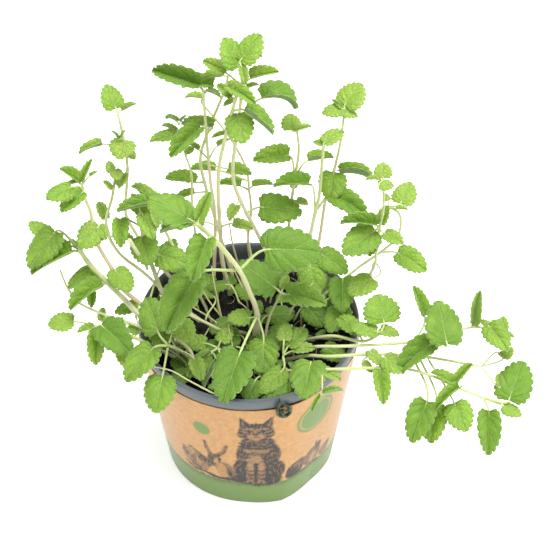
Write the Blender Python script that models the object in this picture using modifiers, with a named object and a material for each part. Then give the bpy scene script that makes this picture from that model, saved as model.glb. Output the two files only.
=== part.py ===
"""Catnip growing in a round nursery pot with a card sleeve.

The origin is the centre of the pot's underside, +Z is up, and the front of the pot faces -Y.
Sizes are written in millimetres and turned into metres by MM.
"""

import math

import bmesh
import bpy
from mathutils import Vector

MM = 0.001
GAP = 0.3

# Pot: a thin moulded cone with a plain turned-down rim.
POT_HEIGHT = 108.0
POT_RIM_RADIUS = 65.0
POT_RIM_DEPTH = 8.0
POT_BASE_RADIUS = 50.2
POT_SHOULDER_RADIUS = 62.4
POT_WALL = 1.3
POT_FLOOR = 2.0
POT_SIDES = 48
DRAIN_HOLES = 6
DRAIN_RADIUS = 4.0
DRAIN_CIRCLE = 34.0

# Sleeve: a strip of board bent into a cone, with one fold at the front right and one behind.
SLEEVE_TOP = 99.3
SLEEVE_BOTTOM = 0.5
SLEEVE_TOP_RADIUS = 65.2
SLEEVE_BASE_RADIUS = 51.6
SLEEVE_BOARD = 0.6
SLEEVE_SIDES = 64
FOLD_TURNS = (291.0, 111.0)
FOLD_SPREAD = 24.0
FOLD_RISE = 1.3

# Soil: fills the pot to a little under the rim.
SOIL_TOP = 93.7
SOIL_EDGE_DROP = 1.5

# Leaf blade: half widths at four stations, as parts of the length, and how thick it is at the midrib.
BLADE_STATIONS = ((0.0, 0.03), (0.1, 0.42), (0.36, 0.5), (0.72, 0.3))
BLADE_THICK = 0.7
BLADE_FOLD = 0.22
STALK_HALF = 0.5
LEAST_STALK = 1.5

# Stems: rings between two points of a path, small steps that its length is measured in, half the
# length of a leaf joint, and how far apart two leaves of one joint may be written.
STEPS_PER_SPAN = 2
PATH_STEPS = 20
NODE_HALF = 0.9
JOINT_REACH = 5.0

# A leaf whose blade is this long or longer is a part of its own. A shorter one is grown from its stem.
OWN_LEAF = 23

# Each stem is its path, its width at the root and at the tip, and its leaves. A leaf is
# (where on the path, turn of the stalk, length of the stalk, rise of the stalk, length of the
# blade, rise of the blade, roll, width as a part of the length, bend) and, where the blade turns
# away from its stalk, the turn of the blade. Turn 0 is +X, 90 is +Y, and angles are in degrees.

PLANT = {
    "a": ([(3, -4, 94), (5, -7, 118), (1, -9, 138), (-5, -12, 160), (-17, -18, 188), (-27, -24, 207)],
          3.4, 2.4,
          [(3, 188, 25, -5, 36, -36, -5, 0.62, 20, 236), (3, 17, 20, 35, 32, -4, 38, 0.85, 25, 358),
           (1, 288, 15.5, -38, 22, -33, 0, 0.86, 20, 268), (1, 254, 35, 6, 32, -22, 0, 0.74, 25, 252),
           (4.3, 250, 5, 10, 25, -30, 0, 0.62, 25), (5, 158, 4, 25, 26, 14, 0, 0.92, 15),
           (5, 60, 3, 50, 16, 38, 20, 0.5, 10), (5, 190, 3, -10, 18, -10, 10, 0.5, 20),
           (1, 198, 4.5, -13, 14, -6, 0, 1.05, 10, 171)]),
    "b": ([(9, -8, 94), (12, -6, 115), (19, -5, 134)],
          1.8, 1.4,
          [(2, 345, 3, 0, 24, -6, 20, 0.62, 20), (2, 145, 4, 25, 28, 14, 0, 0.8, 15),
           (2, 70, 3, 40, 9, 20, 0, 0.7, 10)]),
    "c": ([(18, 38, 94), (9, 42, 125), (-5, 43, 163), (-9, 43, 183), (-7, 44, 208), (-5, 45, 224),
           (-3, 46, 246), (-4, 47, 262)],
          2.6, 1.6,
          [(1.7, 16, 9, 16, 25, -8, 30, 0.78, 20, 355), (2, 250, 7, 10, 11, -15, 0, 0.7, 30),
           (5, 23, 17.5, 33, 24, -34, 0, 0.6, 80, 16), (3.9, 145, 8, 26, 8, -5, -20, 0.4, 20, 199),
           (6, 159, 12, 35, 15, 7, -25, 0.55, 15, 148), (6, 14, 7, 40, 16, 5, 10, 0.5, 10),
           (6.75, 155, 1.5, 24, 18, 42, 0, 0.95, 10, 127), (7, 47, 1.5, 46, 18, 38, 0, 1, 10, 37),
           (7, 10, 4, 20, 9, 5, 0, 0.5, 10), (7, 290, 3, -20, 10, -50, 0, 0.6, 10),
           (5.6, 53, 7, 36, 7, 6, 0, 0.4, 20, 13)]),
    "d": ([(-12, 34, 94), (-16, 36, 119), (-17, 36, 148), (-17, 35, 190), (-12, 36, 220),
           (-6, 36, 247)],
          2.6, 1.8,
          [(4.9, 140, 3, 20, 11, 15, -30, 0.55, 20), (5, 143, 6.5, 28, 18, -18, 20, 0.5, 30, 334),
           (4.5, 1, 3.5, 0, 17, -38, 10, 1, 20, 284), (4.6, 338, 8, 20, 21, -36, -15, 0.5, 15),
           (4.6, 77, 6.5, 48, 7, -25, 0, 0.7, 10, 202), (2, 350, 9, 25, 12, -15, 20, 0.6, 20),
           (2, 175, 10, 20, 13, 0, -30, 0.6, 20)]),
    "e": ([(-22, 32, 94), (-20, 44, 146), (-22, 46, 172), (-23, 48, 190), (-24, 50, 214),
           (-25, 53, 237)],
          2, 1.4,
          [(5, 146, 4, 37, 28, 8, -35, 0.42, 10, 162), (4.9, 42, 7.5, 23, 18, -8, -10, 0.6, 30, 179),
           (5, 330, 3, 20, 9, -10, -20, 0.5, 30), (3, 150, 8, 35, 9, 10, 0, 0.4, 10),
           (3, 30, 10, 50, 8, 10, 0, 0.4, 10), (4, 207, 2, -16, 24, -28, -15, 0.52, 20, 216),
           (3.75, 48, 5.5, 29, 18, 4, 0, 0.3, 20, 179)]),
    "f": ([(-10, 46, 94), (-20, 50, 140), (-26, 53, 168), (-28, 56, 184), (-24, 58, 200),
           (-19, 60, 214), (-14, 61, 228), (-11, 62, 240)],
          2.2, 1.4,
          [(7, 200, 4, 20, 13, 0, 0, 0.5, 20), (2, 186, 5.5, 5, 18, 2, 0, 0.62, 20, 172),
           (1.7, 200, 8, 10, 12, -10, 0, 0.55, 20), (2.8, 349, 17, -7, 14, -6, 15, 0.65, 20, 345)]),
    "g": ([(1, 54, 94), (-1, 56, 118), (1, 57, 140), (0, 58, 157), (-2, 60, 174), (-12, 64, 195),
           (-27, 67, 217)],
          1.6, 1.2,
          [(6, 75, 2.5, 39, 10, 0, 0, 0.5, 30, 180), (3, 40, 3.5, 27, 12, 0, 0, 0.45, 25, 4),
           (3, 165, 6, 20, 14, -10, 0, 0.5, 25), (3.4, 165, 21, 11, 15, -3, 0, 0.5, 10, 177)]),
    "h": ([(20, 46, 94), (23, 48, 130), (25, 50, 155), (27, 52, 173), (29, 53, 192), (28, 54, 206)],
          2, 1.4,
          [(3, 119, 13, 48, 21, 0, -25, 0.6, 15, 192), (3, 10, 14, 55, 15, -2, 0, 0.4, 15),
           (5, 177, 3.5, 16, 11, 20, 0, 1.1, 10, 93), (5, 190, 1.5, 36, 10, 4, 8, 0.5, 10, 16),
           (2, 325, 5, 40, 8, 5, 10, 0.75, 20), (2, 80, 8, 30, 10, -5, 0, 0.6, 30)]),
    "i": ([(28, 33, 94), (34, 35, 129), (39, 40, 157), (41, 41, 168), (42, 42, 187), (43, 43, 205)],
          2.4, 1.6,
          [(2, 121, 17, 60, 21, 2, -10, 0.5, 20, 190), (2, 29, 13, 33, 24, -14, 25, 0.6, 30, 332),
           (5, 82, 1.5, 44, 14, 10, 10, 0.75, 10, 33), (4.9, 79, 1.5, 34, 7, 0, -10, 0.7, 10, 151),
           (1, 330, 10, 15, 20, -22, 20, 0.8, 20), (1, 282, 10, -10, 20, -38, 10, 0.9, 15)]),
    "j": ([(36, 38, 94), (42, 47, 128), (45, 51, 155), (49, 53, 173), (51, 54, 184), (53, 55, 197),
           (55, 59, 217)],
          2.2, 1.5,
          [(3.3, 263, 1.5, -31, 16, -50, 0, 1.1, 10, 257), (3, 350, 6, 30, 19, -10, 0, 0.3, 60),
           (6, 86, 3.5, 46, 16, 30, 0, 1.2, 10, 45), (6, 122, 1.5, 52, 13, -10, -15, 0.8, 25, 188),
           (6, 159, 1.5, 26, 10, -14, 2, 0.9, 20, 336), (5.85, 140, 4, 50, 8, 30, 0, 0.4, 10)]),
    "k": ([(40, 5, 94), (58, 8, 114), (72, 12, 136), (74, 14, 150), (75, 16, 165), (77, 18, 180),
           (76, 21, 199)],
          2, 1.4,
          [(4, 65, 3, 45, 12, 32, 0, 0.65, 10), (4, 182, 4, 60, 21, 4, -20, 0.4, 30),
           (4.1, 214, 1.5, -18, 24, -12, -20, 0.8, 15, 218), (3.9, 245, 4, -20, 12, -35, 0, 0.7, 15),
           (4, 325, 4, -20, 13, -5, 10, 0.75, 15), (6, 86, 1.5, 0, 9, 39, 0, 1.25, 10, 90),
           (6, 235, 4.5, -12, 9, -8, 15, 0.9, 20, 4), (6, 185, 2, 10, 8, 0, 0, 0.5, 20),
           (0.9, 245, 3, 10, 20, -10, 0, 0.8, 10), (1.7, 300, 7, 40, 17, -12, 0, 1, 15, 216)]),
    "l": ([(31, 15, 94), (43, 18, 108), (53, 19, 118), (65, 20, 131), (78, 20, 144), (86, 22, 153),
           (88, 24, 163), (86, 26, 169), (81, 27, 172)],
          1.8, 1.3,
          [(8, 12, 7, 16, 15, 20, 0, 1, 10, 65), (8, 110, 4, 50, 5, 20, 0, 0.9, 10),
           (8, 345, 4, 0, 7, 5, 0, 0.6, 10), (3.9, 359, 10, -3, 20, -18, 20, 0.75, 20, 331),
           (2.2, 268, 6, 50, 23, -14, 10, 0.75, 25)]),
    "m": ([(24, -14, 94), (38, -22, 107), (54, -28, 114), (78, -31, 119), (99, -31, 122),
           (121, -29, 129), (131, -29, 131), (142, -33, 131)],
          2.2, 1.4,
          [(4.4, 287, 15, 29, 27, 22, 10, 0.85, 10, 100), (3.85, 67, 16, 38, 18, 36, 0, 0.45, 10, 117),
           (4.5, 210, 8, -25, 25, -22, -10, 0.6, 30, 217), (6.3, 8, 3.5, -6, 8, 6, 0, 0.7, 10, 134),
           (6, 158, 2.5, 25, 20, 35, 0, 0.32, 10, 77), (7, 319, 2.5, -28, 12, 24, -15, 0.75, 10, 81),
           (6.5, 73, 2, 35, 19, -15, 20, 0.75, 20, 303), (7, 350, 2, -20, 8, -15, 0, 0.6, 10)]),
    "n": ([(22, -20, 94), (34, -28, 106), (47, -35, 113), (70, -36, 116), (94, -37, 116),
           (110, -39, 115), (133, -42, 112)],
          2.4, 1.5,
          [(4, 289, 28, -33, 25, -34, -5, 0.68, 15, 245), (4.2, 295, 30, -39, 22, -40, 0, 0.7, 10, 258),
           (4.5, 304, 31, -28, 18, -22, 10, 0.95, 15, 291),
           (2.85, 20, 3.5, 25, 12, -15, -10, 0.75, 15, 307), (6, 28, 13, 25, 6, -7, 0, 0.7, 10, 312),
           (6, 15, 14, 15, 9, 9, 0, 0.8, 10, 52), (6, 317, 15.5, -21, 8, 15, 0, 0.7, 10, 95),
           (3, 217, 6.5, -32, 8, -30, 0, 0.75, 15, 321)]),
    "o": ([(14, -30, 94), (30, -40, 107), (49, -44, 112), (85, -44, 113), (104, -49, 112),
           (120, -54, 107), (134, -57, 102)],
          2.2, 1.4,
          [(6, 294, 8.5, -32, 25, -38, 0, 0.58, 15, 267), (6, 349, 14.5, 6, 26, 18, 0, 0.85, 10, 68),
           (6, 335, 12, -5, 12, -15, 10, 0.8, 10), (2.7, 275, 2, 0, 20, -32, 0, 0.52, 10),
           (3.05, 153, 10.5, 24, 15, -12, 8, 0.85, 15, 318),
           (1.1, 29, 6, 39, 25, -12, 0, 0.85, 15, 259), (4.5, 334, 8, -11, 19, -22, 0, 0.38, 50, 220),
           (1.6, 341, 2.5, -13, 12, -10, 0, 0.7, 10, 335), (4.5, 348, 4, 0, 14, 12, 0, 0.6, 10, 157),
           (4.6, 2, 4.5, 0, 15, 20, 0, 0.4, 10, 47)]),
    "p": ([(-42, 22, 94), (-61, 26, 118), (-75, 28, 132), (-82, 31, 145), (-83, 34, 156),
           (-79, 38, 170), (-76, 42, 186)],
          2.2, 1.5,
          [(6, 120, 1.5, 37, 8, -15, 0, 1, 20, 286), (5.85, 159, 3, 39, 8, 16, 0, 0.8, 10, 105),
           (5.6, 241, 5, -36, 8, 11, 0, 0.5, 10, 129), (3, 330, 5, 20, 14, 10, 0, 0.5, 10),
           (2.7, 112, 14, 42, 12, 21, 0, 0.6, 20, 113)]),
    "q": ([(-38, 32, 94), (-60, 36, 128), (-71, 40, 150), (-72, 43, 160), (-70, 49, 184),
           (-72, 53, 206), (-74, 55, 219)],
          2.2, 1.4,
          [(6, 118, 3, 40, 15, 36, 0, 0.92, 10), (6, 25, 3, 20, 9, 10, 0, 0.35, 10),
           (5.1, 288, 6, -44, 12, -29, 0, 1.35, 10, 256), (4.5, 358, 1.5, -27, 8, -19, 0, 0.8, 10, 306),
           (4.6, 180, 13.5, 0, 14, -14, 0, 0.4, 40, 200), (3.9, 250, 4, 0, 10, -20, 0, 0.7, 10),
           (3, 320, 6, 20, 20, -20, 20, 0.45, 40)]),
    "r": ([(-45, 0, 94), (-64, 6, 114), (-75, 10, 124), (-80, 13, 137), (-88, 17, 155), (-90, 21, 173),
           (-93, 23, 184), (-94, 25, 191)],
          3, 1.5,
          [(7, 145, 2, 30, 15, 12, 0, 0.5, 10), (7, 60, 2, 50, 14, 42, 0, 0.35, 10),
           (7, 45, 7, 26, 5, 16, 0, 0.6, 10, 30), (6.7, 210, 8, 30, 16, -8, 0, 1, 15),
           (7, 161, 3.5, 21, 7, -6, 0, 0.5, 20, 207), (6.3, 270, 4.5, 45, 17, -20, -10, 0.7, 15, 221),
           (4.6, 336, 4, -14, 18, -12, -30, 0.85, 15, 234), (4.5, 4, 3.5, 0, 10, -19, 0, 0.7, 10, 298),
           (2.9, 300, 5, 42, 17, -18, 0, 0.9, 12, 307)]),
    "s": ([(-40, -8, 94), (-63, -3, 113), (-74, 2, 124), (-85, 6, 136), (-93, 9, 146), (-98, 11, 156)],
          3.2, 2.4,
          [(4.85, 163, 21, 16, 14, 5, 0, 0.8, 10, 136), (5, 163, 15.5, 31, 26, -32, 0, 0.8, 10, 228),
           (4.7, 195, 5, 6, 27, -16, 0, 0.52, 15, 207), (4, 60, 10.5, -70, 18, -12, 0, 0.85, 15, 222),
           (3, 269, 2, -47, 24, -14, 0, 0.5, 40, 218), (5, 276, 2, -66, 8, 35, 0, 0.5, 10, 136)]),
    "t": ([(-42, -14, 94), (-63, -10, 111), (-80, -5, 114), (-98, 0, 120), (-105, 3, 130),
           (-109, 7, 141)],
          1.8, 1.2,
          [(2, 192, 6.5, -15, 9, 16, 0, 0.6, 10, 85), (1.3, 200, 5, 10, 14, -5, 0, 0.6, 20)]),
    "u": ([(-38, -22, 94), (-60, -22, 111), (-74, -18, 115), (-87, -14, 116)],
          2.2, 1.6,
          [(3, 174, 15, 8, 15, -8, 0, 1.05, 15, 182), (3, 265, 3, -20, 20, -45, 0, 0.55, 15),
           (3, 315, 4, 40, 26, -12, 15, 0.75, 25), (3, 200, 3, 0, 10, -5, 0, 0.6, 10),
           (2, 285, 8, -40, 15, -25, 0, 0.8, 10)]),
    "v": ([(-30, 12, 94), (-49, 15, 110), (-56, 20, 128), (-60, 23, 145), (-62, 26, 158),
           (-62, 28, 167)],
          3.2, 2.4,
          [(5, 295, 3, 10, 16, -28, 0, 0.7, 15), (5, 120, 3, 40, 10, 20, 0, 0.5, 20),
           (4, 168, 12.5, 12, 17, -30, 0, 0.62, 15, 271), (3.4, 186, 2, 23, 19, -25, 25, 0.95, 15, 291),
           (2.6, 345, 6, 20, 22, -12, 25, 0.78, 15)]),
    # low leaves over the front of the soil
    "w": ([(-26, -30, 94), (-38, -28, 109), (-46, -30, 117)],
          2.2, 1.6,
          [(2, 260, 19, -26, 22, -26, 0, 0.88, 15), (1.6, 331, 14, -14, 14, -24, 0, 0.7, 15, 292),
           (2, 210, 10, 15, 25, -22, 0, 0.75, 15, 230), (2, 135, 9.5, 31, 24, 16, -20, 0.8, 10, 108),
           (1.5, 110, 6, 0, 20, -8, -10, 0.9, 10, 130), (2, 59, 15.5, 33, 15, -20, 0, 0.95, 10, 295)]),
    "x": ([(20, -26, 94), (20, -27, 105)],
          1.6, 1.2,
          [(1, 268, 11, -3, 20, -16, 0, 0.8, 10, 225), (1, 50, 6, 40, 17, 5, 0, 0.75, 10),
           (1, 5, 7, 30, 13, 5, 0, 0.7, 10), (1, 85, 9, 55, 13, 5, 0, 0.8, 10)]),
    "y": ([(28, -6, 94), (48, -18, 112), (66, -26, 116), (76, -27, 124)],
          2, 1.4,
          [(3, 71, 6.5, 37, 18, 21, 0, 1.25, 10, 103), (3, 172, 3, 20, 15, 5, 0, 0.8, 10),
           (2.85, 69, 3.5, 23, 12, -2, 0, 0.8, 10, 335), (2, 130, 5, 30, 18, 0, 0, 0.7, 10)]),
    "z": ([(-12, -16, 94), (-18, -20, 104)],
          1.6, 1.2,
          [(1, 172, 8, 20, 17, 0, 0, 0.85, 10), (1, 285, 10, 5, 15, -12, 0, 0.9, 10),
           (1, 235, 12, 15, 18, -8, 0, 0.8, 10), (1, 60, 4, 40, 12, 10, 0, 0.9, 10)]),
    "aa": ([(-28, 38, 94), (-33, 44, 150), (-33, 45, 180), (-36, 48, 193), (-39, 52, 204)],
           1.6, 1.2,
           [(4, 195, 2, 20, 16, -4, 0, 0.7, 20), (4, 160, 4, 50, 9, 10, 0, 0.3, 50),
            (3, 39, 6, 43, 6, -15, 0, 0.9, 10, 237)]),
    "bb": ([(-26, 22, 94), (-38, 25, 125), (-49, 27, 155), (-54, 29, 171)],
           2.2, 1.6,
           [(3, 113, 1.5, 50, 22, -8, 0, 0.42, 15, 191), (2.75, 104, 5, 33, 18, 12, 0, 0.38, 45, 145),
            (2.9, 124, 6, 36, 11, 12, 0, 0.6, 15, 140), (3, 280, 2, 0, 12, -30, 0, 0.6, 15)]),
}

for old in list(bpy.data.objects):
    bpy.data.objects.remove(old, do_unlink=True)
for old in list(bpy.data.collections):
    bpy.data.collections.remove(old)

catnip = bpy.data.collections.new("potted_catnip")
cutters = bpy.data.collections.new("cutters")
bpy.context.scene.collection.children.link(catnip)
bpy.context.scene.collection.children.link(cutters)


def colour(code):
    values = [int(code[i:i + 2], 16) / 255 for i in (0, 2, 4)]
    return [v / 12.92 if v <= 0.04045 else ((v + 0.055) / 1.055) ** 2.4 for v in values] + [1.0]


def material(name, code, roughness):
    made = bpy.data.materials.new(name)
    made.use_nodes = True
    shader = made.node_tree.nodes["Principled BSDF"]
    shader.inputs["Base Color"].default_value = colour(code)
    shader.inputs["Roughness"].default_value = roughness
    return made


def add(name, mesh, surface, home=catnip):
    """Puts the mesh in the scene as a named object with its own copy of the material."""
    made = bpy.data.objects.new(name, mesh)
    own = surface.copy()
    own.name = name + "_" + surface.name
    mesh.materials.clear()
    mesh.materials.append(own)
    home.objects.link(made)
    return made


def turned(name, profile, sides, surface):
    """A profile of (radius, height) turned once round the Z axis."""
    mesh = bpy.data.meshes.new(name)
    points = [(r * MM, 0.0, z * MM) for r, z in profile]
    mesh.from_pydata(points, [(i, i + 1) for i in range(len(points) - 1)], [])
    made = add(name, mesh, surface)
    screw = made.modifiers.new("turn", "SCREW")
    screw.angle = math.radians(360)
    screw.steps = sides
    screw.render_steps = sides
    screw.use_merge_vertices = True
    screw.merge_threshold = 0.00005
    screw.use_smooth_shade = False
    return made


plastic = material("grey_plastic", "7c858c", 0.5)
board = material("kraft_board", "d9a777", 0.85)
peat = material("peat", "1d1b1a", 0.95)
stem_green = material("stem_green", "bcc77a", 0.6)
leaf_green = material("leaf_green", "7fae3a", 0.6)

# Pot
inner_shoulder = POT_SHOULDER_RADIUS - POT_WALL
inner_base = POT_BASE_RADIUS - POT_WALL
rim_bottom = POT_HEIGHT - POT_RIM_DEPTH
pot = turned(
    "pot",
    [
        (0.0, POT_FLOOR),
        (inner_base - 3.0, POT_FLOOR),
        (inner_base, POT_FLOOR + 2.0),
        (inner_shoulder, rim_bottom + 0.5),
        (inner_shoulder + 0.4, POT_HEIGHT - 1.0),
        (inner_shoulder + 1.2, POT_HEIGHT),
        (POT_RIM_RADIUS - 0.9, POT_HEIGHT),
        (POT_RIM_RADIUS, POT_HEIGHT - 1.0),
        (POT_RIM_RADIUS - 0.3, rim_bottom),
        (POT_SHOULDER_RADIUS, rim_bottom),
        (POT_BASE_RADIUS, 2.0),
        (POT_BASE_RADIUS - 2.0, 0.0),
        (0.0, 0.0),
    ],
    POT_SIDES,
    plastic,
)
drain = bmesh.new()
for i in range(DRAIN_HOLES):
    turn = math.radians(360 * (i + 0.5) / DRAIN_HOLES)
    hole = bmesh.ops.create_cone(
        drain, cap_ends=True, segments=12, radius1=DRAIN_RADIUS * MM, radius2=DRAIN_RADIUS * MM,
        depth=4 * POT_FLOOR * MM,
    )
    centre = Vector((math.cos(turn), math.sin(turn), 0)) * DRAIN_CIRCLE * MM
    bmesh.ops.translate(drain, verts=hole["verts"], vec=centre)
drain_mesh = bpy.data.meshes.new("drain")
drain.to_mesh(drain_mesh)
drain.free()
drain_cutter = add("drain", drain_mesh, plastic, cutters)
drain_cutter.hide_render = True
drain_cutter.display_type = "WIRE"
cut = pot.modifiers.new("drain_holes", "BOOLEAN")
cut.operation = "DIFFERENCE"
cut.solver = "EXACT"
cut.object = drain_cutter

# Sleeve
bpy.ops.mesh.primitive_cone_add(
    vertices=SLEEVE_SIDES,
    radius1=(SLEEVE_BASE_RADIUS - SLEEVE_BOARD) * MM,
    radius2=(SLEEVE_TOP_RADIUS - SLEEVE_BOARD) * MM,
    depth=(SLEEVE_TOP - SLEEVE_BOTTOM) * MM,
    end_fill_type="NOTHING",
    location=(0, 0, 0),
)
sleeve = bpy.context.object
sleeve.name = "sleeve"
for home in list(sleeve.users_collection):
    home.objects.unlink(sleeve)
catnip.objects.link(sleeve)
sleeve_board = board.copy()
sleeve_board.name = "sleeve_kraft_board"
sleeve.data.materials.append(sleeve_board)
for vertex in sleeve.data.vertices:
    vertex.co.z += (SLEEVE_TOP + SLEEVE_BOTTOM) / 2 * MM
    turn = math.degrees(math.atan2(vertex.co.y, vertex.co.x))
    rise = 0.0
    for fold in FOLD_TURNS:
        away = abs((turn - fold + 180) % 360 - 180)
        rise += FOLD_RISE * max(0.0, 1 - away / FOLD_SPREAD)
    out = Vector((vertex.co.x, vertex.co.y, 0)).normalized()
    vertex.co += out * rise * MM
thicken = sleeve.modifiers.new("board", "SOLIDIFY")
thicken.thickness = SLEEVE_BOARD * MM
thicken.offset = 1.0
thicken.use_even_offset = True

# Soil
soil_slope = (inner_shoulder - inner_base) / (rim_bottom + 0.5 - POT_FLOOR - 2.0)
soil_edge = inner_base + soil_slope * (SOIL_TOP - SOIL_EDGE_DROP - POT_FLOOR - 2.0) - GAP
soil = turned(
    "soil",
    [
        (0.0, SOIL_TOP),
        (soil_edge - 5.0, SOIL_TOP),
        (soil_edge, SOIL_TOP - SOIL_EDGE_DROP),
        (inner_base - GAP, POT_FLOOR + 2.0 + GAP),
        (inner_base - 3.0 - GAP, POT_FLOOR + GAP),
        (0.0, POT_FLOOR + GAP),
    ],
    POT_SIDES,
    peat,
)


def heading(turn, rise):
    turn, rise = math.radians(turn), math.radians(rise)
    return Vector((math.cos(turn) * math.cos(rise), math.sin(turn) * math.cos(rise), math.sin(rise)))


def along(points, place):
    """The point at a place on a smooth curve through the points, where place counts spans."""
    last = len(points) - 1
    i = min(int(place), last - 1)
    t = place - i
    before = points[i - 1] if i else points[0] * 2 - points[1]
    after = points[i + 2] if i + 2 <= last else points[last] * 2 - points[last - 1]
    a, b = points[i], points[i + 1]
    return 0.5 * (
        2 * a + (b - before) * t + (2 * before - 5 * a + 4 * b - after) * t ** 2
        + (3 * a - before - 3 * b + after) * t ** 3
    )


def draw_out(bm, face, target):
    """Extrudes one four-sided face to four target points, and returns the new face and its corners."""
    face = bmesh.ops.extrude_discrete_faces(bm, faces=[face])["faces"][0]
    corners = list(face.verts)
    best = min(range(4), key=lambda s: sum(
        (corners[(i + s) % 4].co - target[i]).length_squared for i in range(4)))
    ordered = [corners[(i + best) % 4] for i in range(4)]
    for corner, place in zip(ordered, target):
        corner.co = place
    return face, ordered


def square(centre, side, up, half):
    return [centre + side * half, centre + up * half, centre - side * half, centre - up * half]


def grow_leaf(bm, face, start, leaf):
    """Draws a stalk and a blade out of the face, from the start point on the stem's axis."""
    turn, stalk, stalk_rise, blade, rise, roll, width, bend = leaf[1:9]
    blade_turn = leaf[9] if len(leaf) > 9 else turn
    base = start + heading(turn, stalk_rise) * stalk
    spin = math.radians(blade_turn)
    level = Vector((-math.sin(spin), math.cos(spin), 0))
    tilt = math.radians(roll)
    rings = []
    place = base.copy()
    done = 0.0
    for station, half in BLADE_STATIONS:
        slope = rise + bend / 2 - bend * station
        while done < station - 1e-6:
            step = min(0.04, station - done)
            place += heading(blade_turn, rise + bend / 2 - bend * (done + step / 2)) * blade * step
            done += step
        ahead = heading(blade_turn, slope)
        up = ahead.cross(level)
        side = level * math.cos(tilt) + up * math.sin(tilt)
        normal = up * math.cos(tilt) - level * math.sin(tilt)
        if station == 0:
            corners = square(place, side, normal, STALK_HALF)
        else:
            reach = half * width * blade
            lift = normal * reach * BLADE_FOLD
            thick = normal * BLADE_THICK / 2
            corners = [place + side * reach + lift, place + thick,
                       place - side * reach + lift, place - thick]
        face, ordered = draw_out(bm, face, [c * MM for c in corners])
        rings.append(ordered)
    while done < 1 - 1e-6:
        step = min(0.04, 1 - done)
        place += heading(blade_turn, rise + bend / 2 - bend * (done + step / 2)) * blade * step
        done += step
    tip = bmesh.ops.poke(bm, faces=[face])["verts"][0]
    tip.co = place * MM
    for near, far in zip(rings[:-1], rings[1:]):
        for edge in (0, 2):
            for rib in (1, 3):
                bmesh.ops.connect_verts(bm, verts=[near[edge], far[rib]])


def close(bm, name, surface):
    """Caps the open start, turns every face outward and adds the object."""
    bmesh.ops.holes_fill(bm, edges=[e for e in bm.edges if e.is_boundary], sides=0)
    bmesh.ops.recalc_face_normals(bm, faces=bm.faces)
    if bm.calc_volume(signed=True) < 0:
        bmesh.ops.reverse_faces(bm, faces=bm.faces)
    mesh = bpy.data.meshes.new(name)
    bm.to_mesh(mesh)
    bm.free()
    return add(name, mesh, surface)


def start_face(bm, corners):
    """A square cap to draw a stem or a stalk out of."""
    bmesh.ops.create_circle(bm, cap_ends=True, segments=4, radius=1.0)
    bm.faces.ensure_lookup_table()
    face = bm.faces[-1]
    for corner, place in zip(face.verts, corners):
        corner.co = place
    return face


def run_lengths(points):
    """The length along the smooth path from its start to each of its small steps."""
    steps = PATH_STEPS * (len(points) - 1)
    run = [0.0]
    for i in range(steps):
        step = along(points, (i + 1) / PATH_STEPS) - along(points, i / PATH_STEPS)
        run.append(run[-1] + step.length)
    return run


def place_of(run, distance):
    """The place, in spans, that lies a distance along the path."""
    for k in range(1, len(run)):
        if run[k] >= distance:
            part = (distance - run[k - 1]) / max(run[k] - run[k - 1], 1e-9)
            return (k - 1 + part) / PATH_STEPS
    return (len(run) - 1) / PATH_STEPS


def distance_of(run, place):
    """The distance along the path to a place given in spans."""
    k = min(int(place * PATH_STEPS), len(run) - 2)
    return run[k] + (run[k + 1] - run[k]) * (place * PATH_STEPS - k)


def direction(points, place):
    spans = len(points) - 1
    return (along(points, min(place + 0.02, spans)) - along(points, max(place - 0.02, 0))).normalized()


def leaf_joints(run, leaves):
    """Gathers the leaves into joints. A joint has up to four leaves, one for each side of the stem."""
    joints = []
    for leaf in leaves:
        wanted = min(distance_of(run, leaf[0]), run[-1] - NODE_HALF - 0.3)
        for joint in joints:
            side = round((leaf[1] % 360 - joint["turn"]) / 90) % 4
            if abs(joint["at"] - wanted) <= JOINT_REACH and side not in joint["leaves"]:
                joint["leaves"][side] = leaf
                break
        else:
            while any(abs(joint["at"] - wanted) < 2 * NODE_HALF + 0.3 for joint in joints):
                wanted -= 2 * NODE_HALF + 0.4
            joints.append({"at": wanted, "turn": leaf[1] % 360, "leaves": {0: leaf}})
    return sorted(joints, key=lambda joint: joint["at"])


def ring_stations(run, joints, spans):
    """Where the stem's rings are: (distance, joint or None, whether the ring opens the joint)."""
    stations = []
    for i in range(STEPS_PER_SPAN * spans + 1):
        distance = min(distance_of(run, i / STEPS_PER_SPAN), run[-1])
        if all(abs(distance - joint["at"]) > NODE_HALF + 0.8 for joint in joints):
            stations.append((distance, None, False))
    for joint in joints:
        stations.append((joint["at"] - NODE_HALF, joint, True))
        stations.append((joint["at"] + NODE_HALF, joint, False))
    stations.sort(key=lambda station: station[0])
    if stations[0][0] > 0.01:
        stations.insert(0, (0.0, None, False))
    if stations[-1][0] < run[-1] - 0.2:
        stations.append((run[-1], None, False))
    return stations


def half_width(widths, part):
    return (widths[0] + (widths[1] - widths[0]) * part) / 2


def stem_ring(points, run, widths, distance, turn):
    """Four corners round the path, with one side of the square facing the turn."""
    place = place_of(run, distance)
    centre = along(points, place)
    ahead = direction(points, place) if distance > 0.01 else Vector((0, 0, 1))
    out = heading(turn, 0)
    out = (out - ahead * out.dot(ahead)).normalized()
    side = ahead.cross(out)
    half = half_width(widths, distance / run[-1])
    corners = ((1, -1), (1, 1), (-1, 1), (-1, -1))
    return [(centre + (out * x + side * y) * half) * MM for x, y in corners]


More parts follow.
